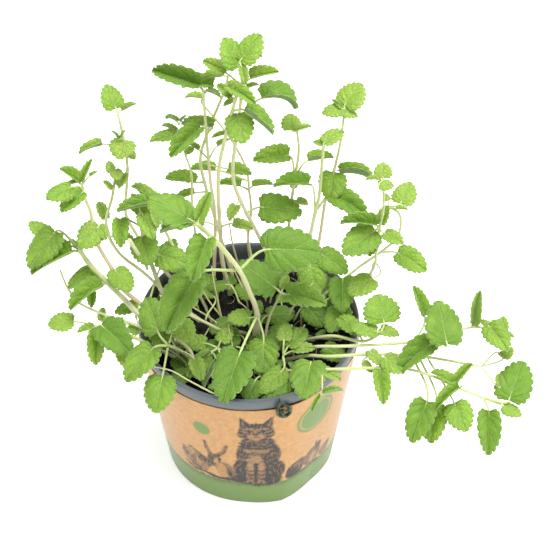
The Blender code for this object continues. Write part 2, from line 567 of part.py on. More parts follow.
def make_stem(name, points, widths, leaves):
    """A square stem drawn out ring by ring, with its small leaves grown from its sides."""
    run = run_lengths(points)
    joints = leaf_joints(run, leaves)
    stations = ring_stations(run, joints, len(points) - 1)
    turn = joints[0]["turn"] if joints else 0.0
    bm = bmesh.new()
    face = None
    growing = []
    for k, (distance, joint, _) in enumerate(stations):
        if joint:
            turn += (joint["turn"] - turn + 45) % 90 - 45
        ring = stem_ring(points, run, widths, distance, turn)
        if face is None:
            face = start_face(bm, ring)
            continue
        face, ordered = draw_out(bm, face, ring)
        opened, opens = stations[k - 1][1:]
        if opens:
            quarter = round((opened["turn"] - turn) / 90)
            for side, leaf in opened["leaves"].items():
                which = (side + quarter) % 4
                edge = bm.edges.get((ordered[which], ordered[(which + 1) % 4]))
                wall = next(f for f in edge.link_faces if f is not face)
                growing.append((wall, opened["at"], leaf))
    for wall, distance, leaf in growing:
        grow_leaf(bm, wall, along(points, place_of(run, distance)), leaf)
    close(bm, name, stem_green)


def make_leaf(name, points, widths, leaf):
    """A large leaf. Its stalk starts just clear of the stem."""
    spans = len(points) - 1
    place = min(leaf[0], spans)
    start = along(points, place)
    out = heading(leaf[1], leaf[3])
    away = max(0.35, out.cross(direction(points, place)).length)
    corner = half_width(widths, place / spans) * math.sqrt(2)
    clear = (corner + GAP + STALK_HALF) / away
    level = Vector((0, 0, 1)).cross(out).normalized()
    root = square(start + out * clear, level, out.cross(level), STALK_HALF)
    stalk = max(leaf[2], clear + LEAST_STALK)
    bm = bmesh.new()
    face = start_face(bm, [corner * MM for corner in root])
    grow_leaf(bm, face, start, (*leaf[:2], stalk, *leaf[3:]))
    close(bm, name, leaf_green)


# Stems, and the leaves large enough to be parts of their own
leaf_number = 0
for stem_number, (path, *widths, leaves) in enumerate(PLANT.values(), 1):
    points = [Vector(point) for point in path]
    small = [leaf for leaf in leaves if leaf[4] < OWN_LEAF]
    make_stem(f"stem_{stem_number:02d}", points, widths, small)
    for leaf in leaves:
        if leaf[4] >= OWN_LEAF:
            leaf_number += 1
            make_leaf(f"leaf_{leaf_number:02d}", points, widths, leaf)
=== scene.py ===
"""Potted catnip: how it looks. Every size is written in millimetres and turned into metres by MM."""

import math
import random

import bpy
from mathutils import Matrix, Vector, noise


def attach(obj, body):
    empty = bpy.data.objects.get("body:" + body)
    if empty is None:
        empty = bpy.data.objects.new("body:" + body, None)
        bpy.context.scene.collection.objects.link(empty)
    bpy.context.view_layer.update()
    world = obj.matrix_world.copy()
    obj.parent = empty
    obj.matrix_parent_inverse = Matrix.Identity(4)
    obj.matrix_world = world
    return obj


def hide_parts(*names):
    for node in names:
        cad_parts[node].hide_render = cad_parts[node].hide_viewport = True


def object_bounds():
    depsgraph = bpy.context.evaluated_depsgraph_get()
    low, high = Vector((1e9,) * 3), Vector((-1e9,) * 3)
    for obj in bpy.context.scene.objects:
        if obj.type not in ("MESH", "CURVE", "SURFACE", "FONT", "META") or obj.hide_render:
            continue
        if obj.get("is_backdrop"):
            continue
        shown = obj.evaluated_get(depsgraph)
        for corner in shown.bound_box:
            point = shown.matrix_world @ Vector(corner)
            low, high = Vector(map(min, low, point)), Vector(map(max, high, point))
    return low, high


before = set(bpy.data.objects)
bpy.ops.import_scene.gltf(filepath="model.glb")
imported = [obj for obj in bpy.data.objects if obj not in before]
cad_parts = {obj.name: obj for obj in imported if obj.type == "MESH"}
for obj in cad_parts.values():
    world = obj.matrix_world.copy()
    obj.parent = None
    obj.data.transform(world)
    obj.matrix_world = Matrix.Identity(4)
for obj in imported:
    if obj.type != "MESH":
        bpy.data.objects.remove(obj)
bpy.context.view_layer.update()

# ---------------------------------------------------------------------------------------------
# Pot. A thin round nursery pot of blue-grey polypropylene, injection moulded in one piece: a plain
# cone with a turned-down rim to lift it by, a recessed floor and six drain holes. It stands on its
# floor, and everything else is in it or round it.
# ---------------------------------------------------------------------------------------------
MM = 0.001
SAME_POINT = 0.01
POT_SIDES = 128
POT_SHARP_TURN = 35
POT_FLOOR = 2.0
FOOT_RADIUS = 48.6
# The wall from the rounded edge of the underside up, over the rim and down inside: (radius, height).
POT_PROFILE = (
    (49.8, 0.35),
    (50.2, 1.4), (55.6, 50.0), (61.2, 96.0), (62.35, 99.2), (62.4, 100.0), (64.2, 100.0), (64.7, 100.25),
    (64.95, 101.0), (65.0, 103.5), (65.0, 106.7), (64.75, 107.55), (64.2, 108.0), (63.6, 108.0),
    (62.9, 107.75), (62.3, 107.0), (61.5, 104.0), (61.15, 100.6), (61.1, 97.0), (60.3, 96.2),
    (58.4, 78.0), (54.3, 50.0), (49.2, 4.2), (48.0, 2.2),
)
DRAIN_HOLES = 6
DRAIN_RADIUS = 4.0
DRAIN_CIRCLE = 34.0
DRILL_SIDES = 32
DRILL_LENGTH = 8.0
FOOT_RING = 3.5
POT_RECESS = 0.9
POT_GREY = "5d6466"
POT_DARK = "4d5357"


def linear(code):
    """An sRGB hex colour as linear RGBA."""
    values = [int(code[i:i + 2], 16) / 255 for i in (0, 2, 4)]
    return [v / 12.92 if v <= 0.04045 else ((v + 0.055) / 1.055) ** 2.4 for v in values] + [1.0]


def clear_selection():
    if bpy.context.mode != "OBJECT":
        bpy.ops.object.mode_set(mode="OBJECT")
    bpy.ops.object.select_all(action="DESELECT")


def pick(*pieces):
    """Selects these pieces and nothing else. The first is the active one."""
    clear_selection()
    for piece in pieces:
        piece.select_set(True)
    bpy.context.view_layer.objects.active = pieces[0]


def joined(*pieces):
    """Joins these pieces into the first of them, and returns it."""
    pick(*pieces)
    bpy.ops.object.join()
    return bpy.context.object


def finish_mesh(piece, outward=True):
    """Merges points that lie on each other, turns the faces outward and shades them smooth."""
    pick(piece)
    bpy.ops.object.mode_set(mode="EDIT")
    bpy.ops.mesh.select_all(action="SELECT")
    bpy.ops.mesh.remove_doubles(threshold=SAME_POINT * MM)
    if outward:
        bpy.ops.mesh.normals_make_consistent(inside=False)
    bpy.ops.object.mode_set(mode="OBJECT")
    bpy.ops.object.shade_smooth()


def new_surface(name):
    """An empty node material, and its tree."""
    made = bpy.data.materials.new(name)
    made.use_nodes = True
    made.node_tree.nodes.clear()
    return made, made.node_tree


def node(tree, kind, inputs=None, **settings):
    """Adds a shader node, gives it its settings, and sets or links its inputs."""
    made = tree.nodes.new("ShaderNode" + kind)
    for name, value in settings.items():
        setattr(made, name, value)
    for socket, value in (inputs or {}).items():
        if isinstance(value, bpy.types.NodeSocket):
            tree.links.new(value, made.inputs[socket])
        else:
            made.inputs[socket].default_value = value
    return made


def principled(tree, inputs):
    """The finish of a surface: one Principled shader, wired to the output."""
    shader = node(tree, "BsdfPrincipled", inputs)
    node(tree, "OutputMaterial", {"Surface": shader.outputs["BSDF"]})


def mix(tree, part, first, second):
    """A colour between two, which is the second where part is 1."""
    return node(tree, "Mix", {0: part, 6: first, 7: second}, data_type="RGBA").outputs[2]


def maths(tree, operation, *values, clamp=False):
    return node(tree, "Math", dict(enumerate(values)), operation=operation, use_clamp=clamp).outputs[0]


def spots(tree, place, scale, detail, roughness=0.5):
    """Soft cloudy noise from 0 to 1."""
    inputs = {"Vector": place, "Scale": scale, "Detail": detail, "Roughness": roughness}
    return node(tree, "TexNoise", inputs).outputs["Fac"]


def bump(tree, height, strength, distance):
    """Fine relief, whose depth is in metres."""
    inputs = {"Height": height, "Strength": strength, "Distance": distance}
    return node(tree, "Bump", inputs).outputs["Normal"]


def ramp(tree, value, source, target=(0.0, 1.0), smooth=False):
    """The value carried from one range to another, and kept inside it."""
    limits = {"From Min": source[0], "From Max": source[1], "To Min": target[0], "To Max": target[1]}
    kind = "SMOOTHSTEP" if smooth else "LINEAR"
    return node(tree, "MapRange", {"Value": value, **limits}, interpolation_type=kind).outputs["Result"]


def keep(piece, slot, *replaced):
    """The piece rides on the one body and stands for the CAD nodes named, which are hidden. The slot is not
    used.
    """
    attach(piece, "root")
    if replaced:
        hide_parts(*replaced)


clear_selection()
bpy.ops.mesh.primitive_circle_add(
    vertices=POT_SIDES, radius=FOOT_RADIUS * MM, fill_type="NGON", location=(0, 0, 0)
)
pot = bpy.context.object
pot.name = "pot_moulding"
bpy.ops.object.mode_set(mode="EDIT")
bpy.ops.mesh.select_all(action="SELECT")
radius, height = FOOT_RADIUS, 0.0
for next_radius, next_height in POT_PROFILE:
    bpy.ops.mesh.extrude_region_move(TRANSFORM_OT_translate={"value": (0, 0, (next_height - height) * MM)})
    bpy.ops.transform.resize(
        value=(next_radius / radius, next_radius / radius, 1), center_override=(0, 0, next_height * MM)
    )
    radius, height = next_radius, next_height
bpy.ops.object.mode_set(mode="OBJECT")
# The underside: a foot ring round a shallow recess.
for face in pot.data.polygons:
    face.select = len(face.vertices) > 4 and face.center.z < 0.1 * MM
for edge in pot.data.edges:
    edge.select = False
for vertex in pot.data.vertices:
    vertex.select = False
bpy.ops.object.mode_set(mode="EDIT")
bpy.ops.mesh.select_mode(type="FACE")
bpy.ops.mesh.inset(thickness=FOOT_RING * MM)
bpy.ops.transform.translate(value=(0, 0, POT_RECESS * MM))
bpy.ops.mesh.select_mode(type="VERT")
bpy.ops.object.mode_set(mode="OBJECT")
finish_mesh(pot)
drills = []
for i in range(DRAIN_HOLES):
    turn = math.radians(360 * (i + 0.5) / DRAIN_HOLES)
    clear_selection()
    bpy.ops.mesh.primitive_cylinder_add(
        vertices=DRILL_SIDES, radius=DRAIN_RADIUS * MM, depth=DRILL_LENGTH * MM,
        location=(math.cos(turn) * DRAIN_CIRCLE * MM, math.sin(turn) * DRAIN_CIRCLE * MM, 0),
    )
    drills.append(bpy.context.object)
drill = joined(*drills)
pick(pot)
cut = pot.modifiers.new("drain_holes", "BOOLEAN")
cut.operation = "DIFFERENCE"
cut.solver = "EXACT"
cut.object = drill
bpy.ops.object.modifier_apply(modifier=cut.name)
bpy.data.objects.remove(drill, do_unlink=True)
pick(pot)
bpy.ops.object.shade_smooth_by_angle(angle=math.radians(POT_SHARP_TURN))

# Moulded polypropylene: even satin grey with a faint flow mottle and fine scuffs from handling.
pot_plastic, tree = new_surface("moulded_grey_polypropylene")
place = node(tree, "TexCoord").outputs["Object"]
mottle = spots(tree, place, 55.0, 3.0)
scuffs = spots(tree, place, 900.0, 2.0)
grey = mix(tree, mottle, linear(POT_DARK), linear(POT_GREY))
gloss = ramp(tree, scuffs, (0.0, 1.0), (0.32, 0.5))
grain = bump(tree, scuffs, 0.08, 0.0002)
principled(tree, {"Base Color": grey, "Roughness": gloss, "Normal": grain, "IOR": 1.49})
pot.data.materials.append(pot_plastic)
keep(pot, "grey_plastic", "pot")

# ---------------------------------------------------------------------------------------------
# Sleeve. A strip of uncoated brown kraft board, 0.6 mm thick, printed in green and dark brown, die cut,
# creased at the front right and behind, wrapped round the pot under its rim and glued at an overlap
# at the back. The print is plain: a lawn, a sitting cat, a rabbit, guinea pigs and two green discs.
# ---------------------------------------------------------------------------------------------
SLEEVE_TOP = 99.8
SLEEVE_BOTTOM = 0.5
SLEEVE_TOP_RADIUS = 65.2
SLEEVE_BASE_RADIUS = 51.6
SLEEVE_BOARD = 0.6
FOLD_TURNS = (291.0, 111.0)
FOLD_SPREAD = 24.0
FOLD_RISE = 2.3
FOLD_FADE = 0.6
FLAT_SPAN = (291.0, 341.0)
FLAT_DROP = 1.0
SEAM_TURN = 78.0
SEAM_OVERLAP = 9.0
SEAM_EASE = 6.0
SEAM_GLUE = 0.1
BOARD_SHARP_TURN = 30
PRINT_TURNS = (194.0, 346.0)
PRINT_HEIGHTS = (16, 96)
PRINT_REACH = 30
PRINT_CELL = 0.7
PLAIN_STEP = 4.0
DEGREE = 1.06
LAWN_HEIGHT = 22.5
LAWN_SHADE = 5.5
# The lawn's upper edge: (how fine, where in the noise, how high) of its swells, and of its tufts.
LAWN_SWELLS = ((0.11, 3.1, 2.4), (0.9, 7.7, 1.5))
LAWN_TUFTS = (2.9, 0.8)
# How far ink fades out across its edge, how ragged that edge is, and what green over it hides.
INK_EDGE = 0.55
INK_RAGGED = (1.1, 0.55)
INK_HIDDEN = 0.75
GREEN_EDGE = 0.8
KRAFT_BASE = "c1975c"
KRAFT_DARK = "ab7a48"
KRAFT_SPECK = "8a5f3b"
INK_BROWN = "1f1a17"
LAWN_GREEN = "5a7f39"
LAWN_DARK = "2f4c20"


def pair(*mark):
    """A mark of the print, and its mirror image across the animal's own middle."""
    if len(mark) == 6:
        ink, across, height, half, tall, tilt = mark
        return mark, (ink, -across, height, half, tall, -tilt)
    return mark, mark[:3] + tuple(v if i % 2 else -v for i, v in enumerate(mark[3:]))


# The print is drawn as ovals and strokes, each painted over the last, from 0, bare board, to 1, full
# ink. An oval is (ink, across, height, half width, half height, tilt). A stroke is (ink, width at its
# start, width at its end, then the points). Across is in millimetres from the animal's own middle.
CAT = (
    (0.62, -3, 36, 12, 14, 8), (0.62, 6, 36, 12.5, 13.5, -10), (0.6, 1.5, 53, 13.6, 17, 0),
    (0.66, -7, 27, 7, 6, 0), (0.7, 9, 26, 8, 6, 0), (0.58, 1, 66, 10.4, 7.5, 0),
    *pair(0.45, -3.4, 33, 3.1, 11.5, 3), *pair(0.28, -3.3, 40, 1.9, 6, 4),
    *pair(0.4, -3.6, 23.4, 3.3, 2.3, 0), (0.3, -1, 49, 5.2, 4.2, 0), (0.38, 3, 57, 5, 3, 10),
    (0.38, -3, 58, 5, 2.4, -10), (0.85, 1.5, 1.0, 0, 43, 0, 33, 0, 24),
    *pair(0.8, 1.3, 1.6, -6.8, 45, -7.4, 34, -7.2, 25),
    (0.88, 1.2, 0.6, -9.5, 66, -5, 63, 0, 64.4, 5, 63, 9.5, 66),
    (0.85, 0.7, 1.2, 0, 61.4, -4, 60.6, -10, 62.6), (0.85, 0.7, 1.2, 0, 61.4, 4, 60.2, 10, 62.2),
    (0.85, 1.1, 0.6, -10.6, 58, -6, 55, -1, 56), (0.85, 1.1, 0.6, 10.6, 57, 6, 54.4, 1, 55.2),
    (0.82, 1.1, 0.5, -11, 52.5, -7, 50, -3, 51.2), (0.82, 1.1, 0.5, 11, 52, 7, 49, 3.6, 50.4),
    (0.8, 1.2, 0.5, -12, 46.5, -9, 45, -6.6, 46), (0.8, 1.2, 0.5, 12.5, 46, 9.5, 44, 7, 45.4),
    (0.85, 0.7, 1.4, -9, 41, -11.5, 38, -13.6, 33), (0.85, 0.7, 1.4, 9.6, 42, 13, 38.5, 15.6, 33),
    (0.85, 0.6, 1.3, -8.8, 36.5, -10.6, 33, -11.6, 28), (0.85, 0.6, 1.3, 9.6, 37, 12.4, 33, 13.6, 28),
    (0.8, 0.6, 0.9, -5.8, 37, -3.4, 36, -1.2, 37), (0.8, 0.6, 0.9, 1.2, 37, 3.6, 36, 6, 37),
    (0.8, 0.6, 0.9, -5.8, 32.4, -3.4, 31.4, -1.2, 32.2), (0.8, 0.6, 0.9, 1.2, 32.2, 3.6, 31.4, 6, 32.4),
    (0.75, 0.5, 0.8, -5.8, 28, -3.4, 27.2, -1.2, 28), (0.75, 0.5, 0.8, 1.2, 28, 3.6, 27.2, 6, 28),
    *pair(0.9, 0.5, 0.4, -3.6, 21.6, -3.7, 24), (0.72, 2.2, 3.0, 12.6, 24.4, 8, 21.4, 0, 20.6),
    (0.7, 5.2, 0.8, -6.6, 83.5, -8.6, 92.6), (0.7, 5.2, 0.8, 6.6, 83.5, 8.8, 93),
    (0.7, 3.4, 0.8, -4.6, 85.6, -8.2, 92), (0.7, 3.4, 0.8, 4.6, 85.6, 8.4, 92.4),
    (0.42, 2.2, 0.4, -6.7, 84, -8, 90.6), (0.42, 2.2, 0.4, 6.7, 84, 8.2, 91),
    (0.6, 0, 78.4, 10.2, 8.8, 0), *pair(0.5, -6, 75.5, 4.8, 4.4, 0),
    *pair(0.34, -4.2, 81.4, 2.6, 1.3, 12), *pair(0.22, -2.1, 73.4, 2.7, 2.2, 0),
    (0.25, 0, 70.9, 2.4, 1.5, 0), (0.4, 0, 79, 1.3, 4.4, 0), *pair(0.24, -4.2, 78.7, 2.3, 1.5, 8),
    *pair(0.98, -4.1, 78.7, 1.1, 1.15, 0), *pair(0.9, 0.5, 0.7, -6.6, 79.4, -4.4, 80.4, -2, 78.4),
    (0.85, 0, 75.9, 1.3, 0.8, 0), (0.8, 0.5, 0.4, 0, 75.4, 0, 73.6, -1.4, 72.6, -3, 73),
    (0.8, 0.5, 0.4, 0, 73.6, 1.4, 72.6, 3, 73), (0.9, 0.5, 1.0, 0, 82.5, 0, 87),
    *pair(0.9, 0.5, 1.0, -1.6, 83, -2.4, 86.8), *pair(0.9, 0.5, 0.9, -3.4, 83.2, -4.8, 86),
    *pair(0.85, 0.5, 1.0, -5.6, 76.4, -9.6, 77.6), *pair(0.85, 0.5, 1.0, -5, 73.4, -9.2, 73.2),
    *pair(0.85, 0.5, 0.9, -4.2, 71, -7.8, 69.6),
)
RABBIT = (
    (0.6, 2.2, 3.0, -7.2, 60.6, -6.6, 55, -4.2, 48.6), (0.35, 0.8, 1.2, -6.7, 58.6, -6.2, 55, -4.6, 51),
    (0.6, 2.4, 3.0, 6.4, 60.6, 4.4, 54, 0.4, 48.6), (0.35, 0.8, 1.2, 5.6, 58.6, 4, 54.4, 1.6, 50.6),
    (0.4, 5, 33, 6.4, 10, 12), (0.16, 2.6, 33, 3.6, 8.6, 8), (0.55, -2.2, 44.4, 4.6, 5.2, 0),
    (0.5, -3.2, 38.6, 3.4, 3.4, 0), (0.14, -0.9, 41.6, 1.5, 4.6, -8), (0.9, -4, 44.8, 0.8, 0.9, 0),
    (0.9, 1.6, 45.2, 0.8, 0.9, 0), (0.8, -2, 38.6, 0.9, 0.6, 0), (0.6, 8.6, 31, 2.6, 6.5, 14),
    (0.8, 1.6, 2.6, -6.4, 25.6, 0, 24, 6, 25, 12, 24.4), (0.45, 0.8, 0.8, 5.6, 38, 8.8, 34, 9.6, 29),
)
GUINEA_PIGS = (
    (0.42, 1.6, 41, 6.6, 6.2, -20), (0.2, -1.2, 42.6, 2.6, 3.6, -20), (0.3, -3.6, 34.6, 5.4, 8.4, 20),
    (0.55, -6.4, 38.4, 2.6, 3.6, 20), (0.6, 8.6, 37, 5, 6.6, -10), (0.36, 7.4, 32, 3.6, 5, 0),
    (0.5, 1.6, 32, 4.6, 7, 10), (0.18, 3.6, 34.6, 1.8, 4.2, 10), (0.9, 9.4, 39.4, 0.8, 0.8, 0),
    (0.9, -5, 36.2, 0.8, 0.8, 0), (0.65, 1.2, 1.0, 5.4, 44.6, 8, 43), (0.65, 1.2, 1.0, -1.8, 47, 0.8, 47.8),
    (0.6, 1.0, 1.0, -8, 42.6, -6, 43.8), (0.75, 1.4, 2.4, -8, 27, 0, 24.4, 8, 26, 14, 24),
)
RIGHT_ANIMALS = (
    (0.62, -7.6, 29.5, 7, 7.6, -16), (0.5, -3.6, 34.4, 4.4, 4, -10), (0.8, -9.6, 26, 5, 3.6, 0),
    (0.9, -2.6, 35, 0.7, 0.7, 0), (0.5, 7, 32, 7.8, 8.6, -24), (0.6, 11.4, 39, 3.6, 3.4, 0),
    (0.2, 8, 30, 3, 4.6, -20), (0.55, 1.6, 1.0, 9.4, 41, 9.2, 45.4), (0.9, 12.4, 39.4, 0.7, 0.7, 0),
    (0.45, 20, 27.6, 5.2, 5.4, -30), (0.6, 23, 31.4, 2.6, 2.6, 0),
    (0.7, 1.4, 2.2, -13, 24, 0, 23, 14, 22.6),
)
# Where each of them sits: the turn of its middle.
PRINTS = ((274.0, CAT), (251.0, RABBIT), (234.0, GUINEA_PIGS), (306.0, RIGHT_ANIMALS))
DISC_STRETCH = 1.04
DISC_RING_INSET = 2.6
DISC_RING_EDGE = 0.5
# Discs: (turn, height, radius, width of the bare ring inside the edge or 0).
DISCS = ((243.4, 73.5, 5.7, 0.0), (309.7, 77.0, 14.6, 0.9))


def clamped(value):
    return min(1.0, max(0.0, value))


def away_from_segment(x, z, x0, z0, x1, z1):
    """How far a point is from a segment, and how far along the segment the nearest point is."""
    dx, dz = x1 - x0, z1 - z0
    part = clamped(((x - x0) * dx + (z - z0) * dz) / (dx * dx + dz * dz))
    return math.hypot(x - x0 - dx * part, z - z0 - dz * part), part


def inside_by(mark, x, z):
    """How far inside a mark the point is, in millimetres, and less than 0 outside it."""
    if len(mark) == 6:
        _, middle, height, half, tall, tilt = mark
        spin = math.radians(tilt)
        dx, dz = x - middle, z - height
        dx, dz = dx * math.cos(spin) + dz * math.sin(spin), dz * math.cos(spin) - dx * math.sin(spin)
        return (1 - math.hypot(dx / half, dz / tall)) * min(half, tall)
    start, end, *points = mark[1:]
    spans = len(points) // 2 - 1
    best = -99.0
    for i in range(spans):
        gap, part = away_from_segment(x, z, *points[2 * i:2 * i + 4])
        best = max(best, (start + (end - start) * (i + part) / spans) / 2 - gap)
    return best


def lawn_edge(turn):
    """The ragged upper edge of the printed lawn."""
    rough = sum(noise.noise(Vector((turn * fine, seed, 0))) * high for fine, seed, high in LAWN_SWELLS)
    fine, high = LAWN_TUFTS
    return LAWN_HEIGHT + rough + high * abs(math.sin(turn * fine))


def print_at(turn, height):
    """The brown ink, the green ink and how dark the green is, at a place on the sleeve."""
    ink = 0.0
    fine, deep = INK_RAGGED
    ragged = noise.noise(Vector((turn * fine, height * fine, 0))) * deep
    if PRINT_HEIGHTS[0] < height < PRINT_HEIGHTS[1]:
        for middle, marks in PRINTS:
            x = (turn - middle) * DEGREE
            if abs(x) > PRINT_REACH:
                continue
            for mark in marks:
                cover = inside_by(mark, x, height) + ragged
                if cover > -INK_EDGE:
                    ink += (mark[0] - ink) * min(1.0, (cover + INK_EDGE) / (2 * INK_EDGE))
    edge = lawn_edge(turn)
    green = clamped((edge - height) / GREEN_EDGE + 0.5)
    dark = clamped(1 - (edge - height) / LAWN_SHADE) * green
    for middle, centre, size, ring in DISCS:
        off = math.hypot((turn - middle) * DEGREE * DISC_STRETCH, height - centre)
        cover = clamped((size - off) / GREEN_EDGE + 0.5)
        if ring:
            cover *= clamped((abs(off - size + DISC_RING_INSET) - ring / 2) / DISC_RING_EDGE + 0.5)
        green = max(green, cover)
    return ink * (1 - INK_HIDDEN * green * (1 - dark)), green, dark


def sleeve_radius(turn, height):
    """The outside of the sleeve: a cone drawn out at its folds, and flat to the right of the front one."""
    part = (height - SLEEVE_BOTTOM) / (SLEEVE_TOP - SLEEVE_BOTTOM)
    radius = SLEEVE_BASE_RADIUS + (SLEEVE_TOP_RADIUS - SLEEVE_BASE_RADIUS) * part
    for fold in FOLD_TURNS:
        rise = FOLD_RISE * (1 - FOLD_FADE * part)
        radius += rise * max(0.0, 1 - abs((turn - fold + 180) % 360 - 180) / FOLD_SPREAD)
    flat = (turn - FLAT_SPAN[0]) / (FLAT_SPAN[1] - FLAT_SPAN[0])
    if 0 < flat < 1:
        radius -= FLAT_DROP * math.sin(math.pi * flat) ** 1.5
    return radius


def shaped_grid(name, columns, rows, place):
    """A grid primitive whose points are moved to place(u, v), where u and v run from 0 to 1."""
    clear_selection()
    bpy.ops.mesh.primitive_grid_add(
        x_subdivisions=columns, y_subdivisions=rows, size=1, calc_uvs=True, location=(0, 0, 0)
    )
    made = bpy.context.object
    made.name = name
    for vertex in made.data.vertices:
        vertex.co = place(vertex.co.x + 0.5, vertex.co.y + 0.5) * MM
    return made


# The columns of the board lie close together where it is printed.
columns = [SEAM_TURN]
while columns[-1] < SEAM_TURN + 360 + SEAM_OVERLAP:
    printed = PRINT_TURNS[0] <= columns[-1] < PRINT_TURNS[1]
    columns.append(columns[-1] + (PRINT_CELL / DEGREE if printed else PLAIN_STEP))
rows = round((SLEEVE_TOP - SLEEVE_BOTTOM) / PRINT_CELL)
creased = min(range(len(columns)), key=lambda i: abs(columns[i] - FOLD_TURNS[0]))
columns[creased] = FOLD_TURNS[0]


def board_place(u, v):
    turn = columns[round(u * (len(columns) - 1))]
    height = SLEEVE_BOTTOM + (SLEEVE_TOP - SLEEVE_BOTTOM) * v
    lap = clamped((turn - SEAM_TURN - 360 + SEAM_EASE) / SEAM_EASE)
    radius = sleeve_radius(turn, height) + lap * (SLEEVE_BOARD + SEAM_GLUE) - SLEEVE_BOARD
    return Vector((math.cos(math.radians(turn)) * radius, math.sin(math.radians(turn)) * radius, height))


sleeve = shaped_grid("sleeve_board", len(columns) - 1, rows, board_place)
brown_ink = sleeve.data.attributes.new("brown_ink", "FLOAT", "POINT")
green_ink = sleeve.data.attributes.new("green_ink", "FLOAT", "POINT")
green_depth = sleeve.data.attributes.new("green_depth", "FLOAT", "POINT")
for i, vertex in enumerate(sleeve.data.vertices):
    turn = math.degrees(math.atan2(vertex.co.y, vertex.co.x)) % 360
    marks = print_at(turn, vertex.co.z / MM)
    brown_ink.data[i].value, green_ink.data[i].value, green_depth.data[i].value = marks
pick(sleeve)
thicken = sleeve.modifiers.new("board", "SOLIDIFY")
thicken.thickness = SLEEVE_BOARD * MM
thicken.offset = 1.0
thicken.use_even_offset = True
thicken.material_offset = 1
thicken.material_offset_rim = 1
bpy.ops.object.modifier_apply(modifier=thicken.name)
bpy.ops.object.shade_smooth_by_angle(angle=math.radians(BOARD_SHARP_TURN))
# The crease at the front breaks the light: the panel to its right is flat and catches the lamp.
turns = [math.degrees(math.atan2(vertex.co.y, vertex.co.x)) % 360 for vertex in sleeve.data.vertices]
for edge in sleeve.data.edges:
    if all(abs(turns[i] - FOLD_TURNS[0]) < 0.1 for i in edge.vertices):
        edge.use_edge_sharp = True


def kraft_colour(tree):
    """Brown kraft: pale wood fibres a few millimetres long in a warm sheet, with a few dark specks."""
    place = node(tree, "TexCoord").outputs["Object"]
    cloud = spots(tree, place, 260.0, 6.0, 0.7)
    drawn = node(tree, "Mapping", {"Vector": place, "Scale": (2.6, 2.6, 0.5)})
    fibres = spots(tree, drawn.outputs["Vector"], 900.0, 3.0)
    both = maths(tree, "ADD", cloud, fibres)
    shade = ramp(tree, both, (0.75, 1.25))
    sheet = mix(tree, shade, linear(KRAFT_DARK), linear(KRAFT_BASE))
    specks = spots(tree, place, 1500.0, 1.0)
    few = ramp(tree, specks, (0.68, 0.76))
    half = maths(tree, "MULTIPLY", few, 0.45)
    board = mix(tree, half, sheet, linear(KRAFT_SPECK))
    return place, both, board


# Printed kraft: flat inks that let the fibres show through, and fur drawn with short broken strokes.
printed_kraft, tree = new_surface("printed_kraft_board")
place, fibre_height, board_colour = kraft_colour(tree)
brown = node(tree, "Attribute", attribute_name="brown_ink").outputs["Fac"]
green = node(tree, "Attribute", attribute_name="green_ink").outputs["Fac"]
depth = node(tree, "Attribute", attribute_name="green_depth").outputs["Fac"]
fur_place = node(tree, "Mapping", {"Vector": place, "Scale": (1.0, 1.0, 0.4)})
fur = spots(tree, fur_place.outputs["Vector"], 850.0, 2.0)
hairs = ramp(tree, fur, (0.3, 0.7), (1.05, 1.9))
furry = maths(tree, "MULTIPLY", brown, hairs, clamp=True)
grass = ramp(tree, fur, (0.35, 0.65), (0.5, 1.3))
dark = maths(tree, "MULTIPLY", depth, grass, clamp=True)
lawn = mix(tree, dark, linear(LAWN_GREEN), linear(LAWN_DARK))
thin = maths(tree, "MULTIPLY", green, 0.93)
greened = mix(tree, thin, board_colour, lawn)
inked = mix(tree, furry, greened, linear(INK_BROWN))
relief = bump(tree, fibre_height, 0.2, 0.0001)
principled(tree, {
    "Base Color": inked, "Roughness": 0.6, "Normal": relief, "IOR": 1.4,
    "Specular IOR Level": 0.35, "Sheen Weight": 0.7, "Sheen Roughness": 0.35,
})
sleeve.data.materials.append(printed_kraft)

# Bare kraft, on the inside and the cut edges: the same board, matt.
bare_kraft, tree = new_surface("bare_kraft_board")
place, fibre_height, board_colour = kraft_colour(tree)
relief = bump(tree, fibre_height, 0.35, 0.0001)
principled(tree, {"Base Color": board_colour, "Roughness": 0.85, "Normal": relief, "IOR": 1.45})
sleeve.data.materials.append(bare_kraft)
keep(sleeve, "kraft_board", "sleeve")

# ---------------------------------------------------------------------------------------------
# Peat. Damp black potting peat, pressed into the pot as one plug and crumbly on top, with loose
# crumbs lying on it. It touches the wall and the floor of the pot.
# ---------------------------------------------------------------------------------------------
SOIL_TOP = 93.7
SOIL_SINK = 0.4
SOIL_EDGE_DROP = 1.5
SOIL_EDGE_DEPTH = 3.0
# Its swells, lumps and grit: (how fine, where in the noise, how high).
SOIL_SWELL = (0.05, 0.4, 1.6)
SOIL_LUMPS = (0.22, 1.7, 1.3)
SOIL_GRIT = (0.7, 4.1, 0.8)
SOIL_RINGS = 56
SOIL_STEPS = 168
SOIL_GAP = 0.35
SOIL_WAIST = 60.0
CRUMBS = 420
CRUMB_REACH = 57.5
CRUMB_SIZES = (0.6, 0.8, 1.0, 1.3, 1.9)


def inner_wall(height):
    """The radius of the inside of the pot's wall at a height."""
    for (r0, z0), (r1, z1) in zip(POT_PROFILE[-2:-7:-1], POT_PROFILE[-3:-8:-1]):
        if z0 <= height <= z1:
            return r0 + (r1 - r0) * (height - z0) / (z1 - z0)
    return POT_PROFILE[-2][0]


soil_edge = inner_wall(SOIL_TOP - SOIL_EDGE_DEPTH) - SOIL_GAP


def bumps(x, y, kind):
    fine, seed, high = kind
    return noise.noise(Vector((x * fine, y * fine, seed))) * high


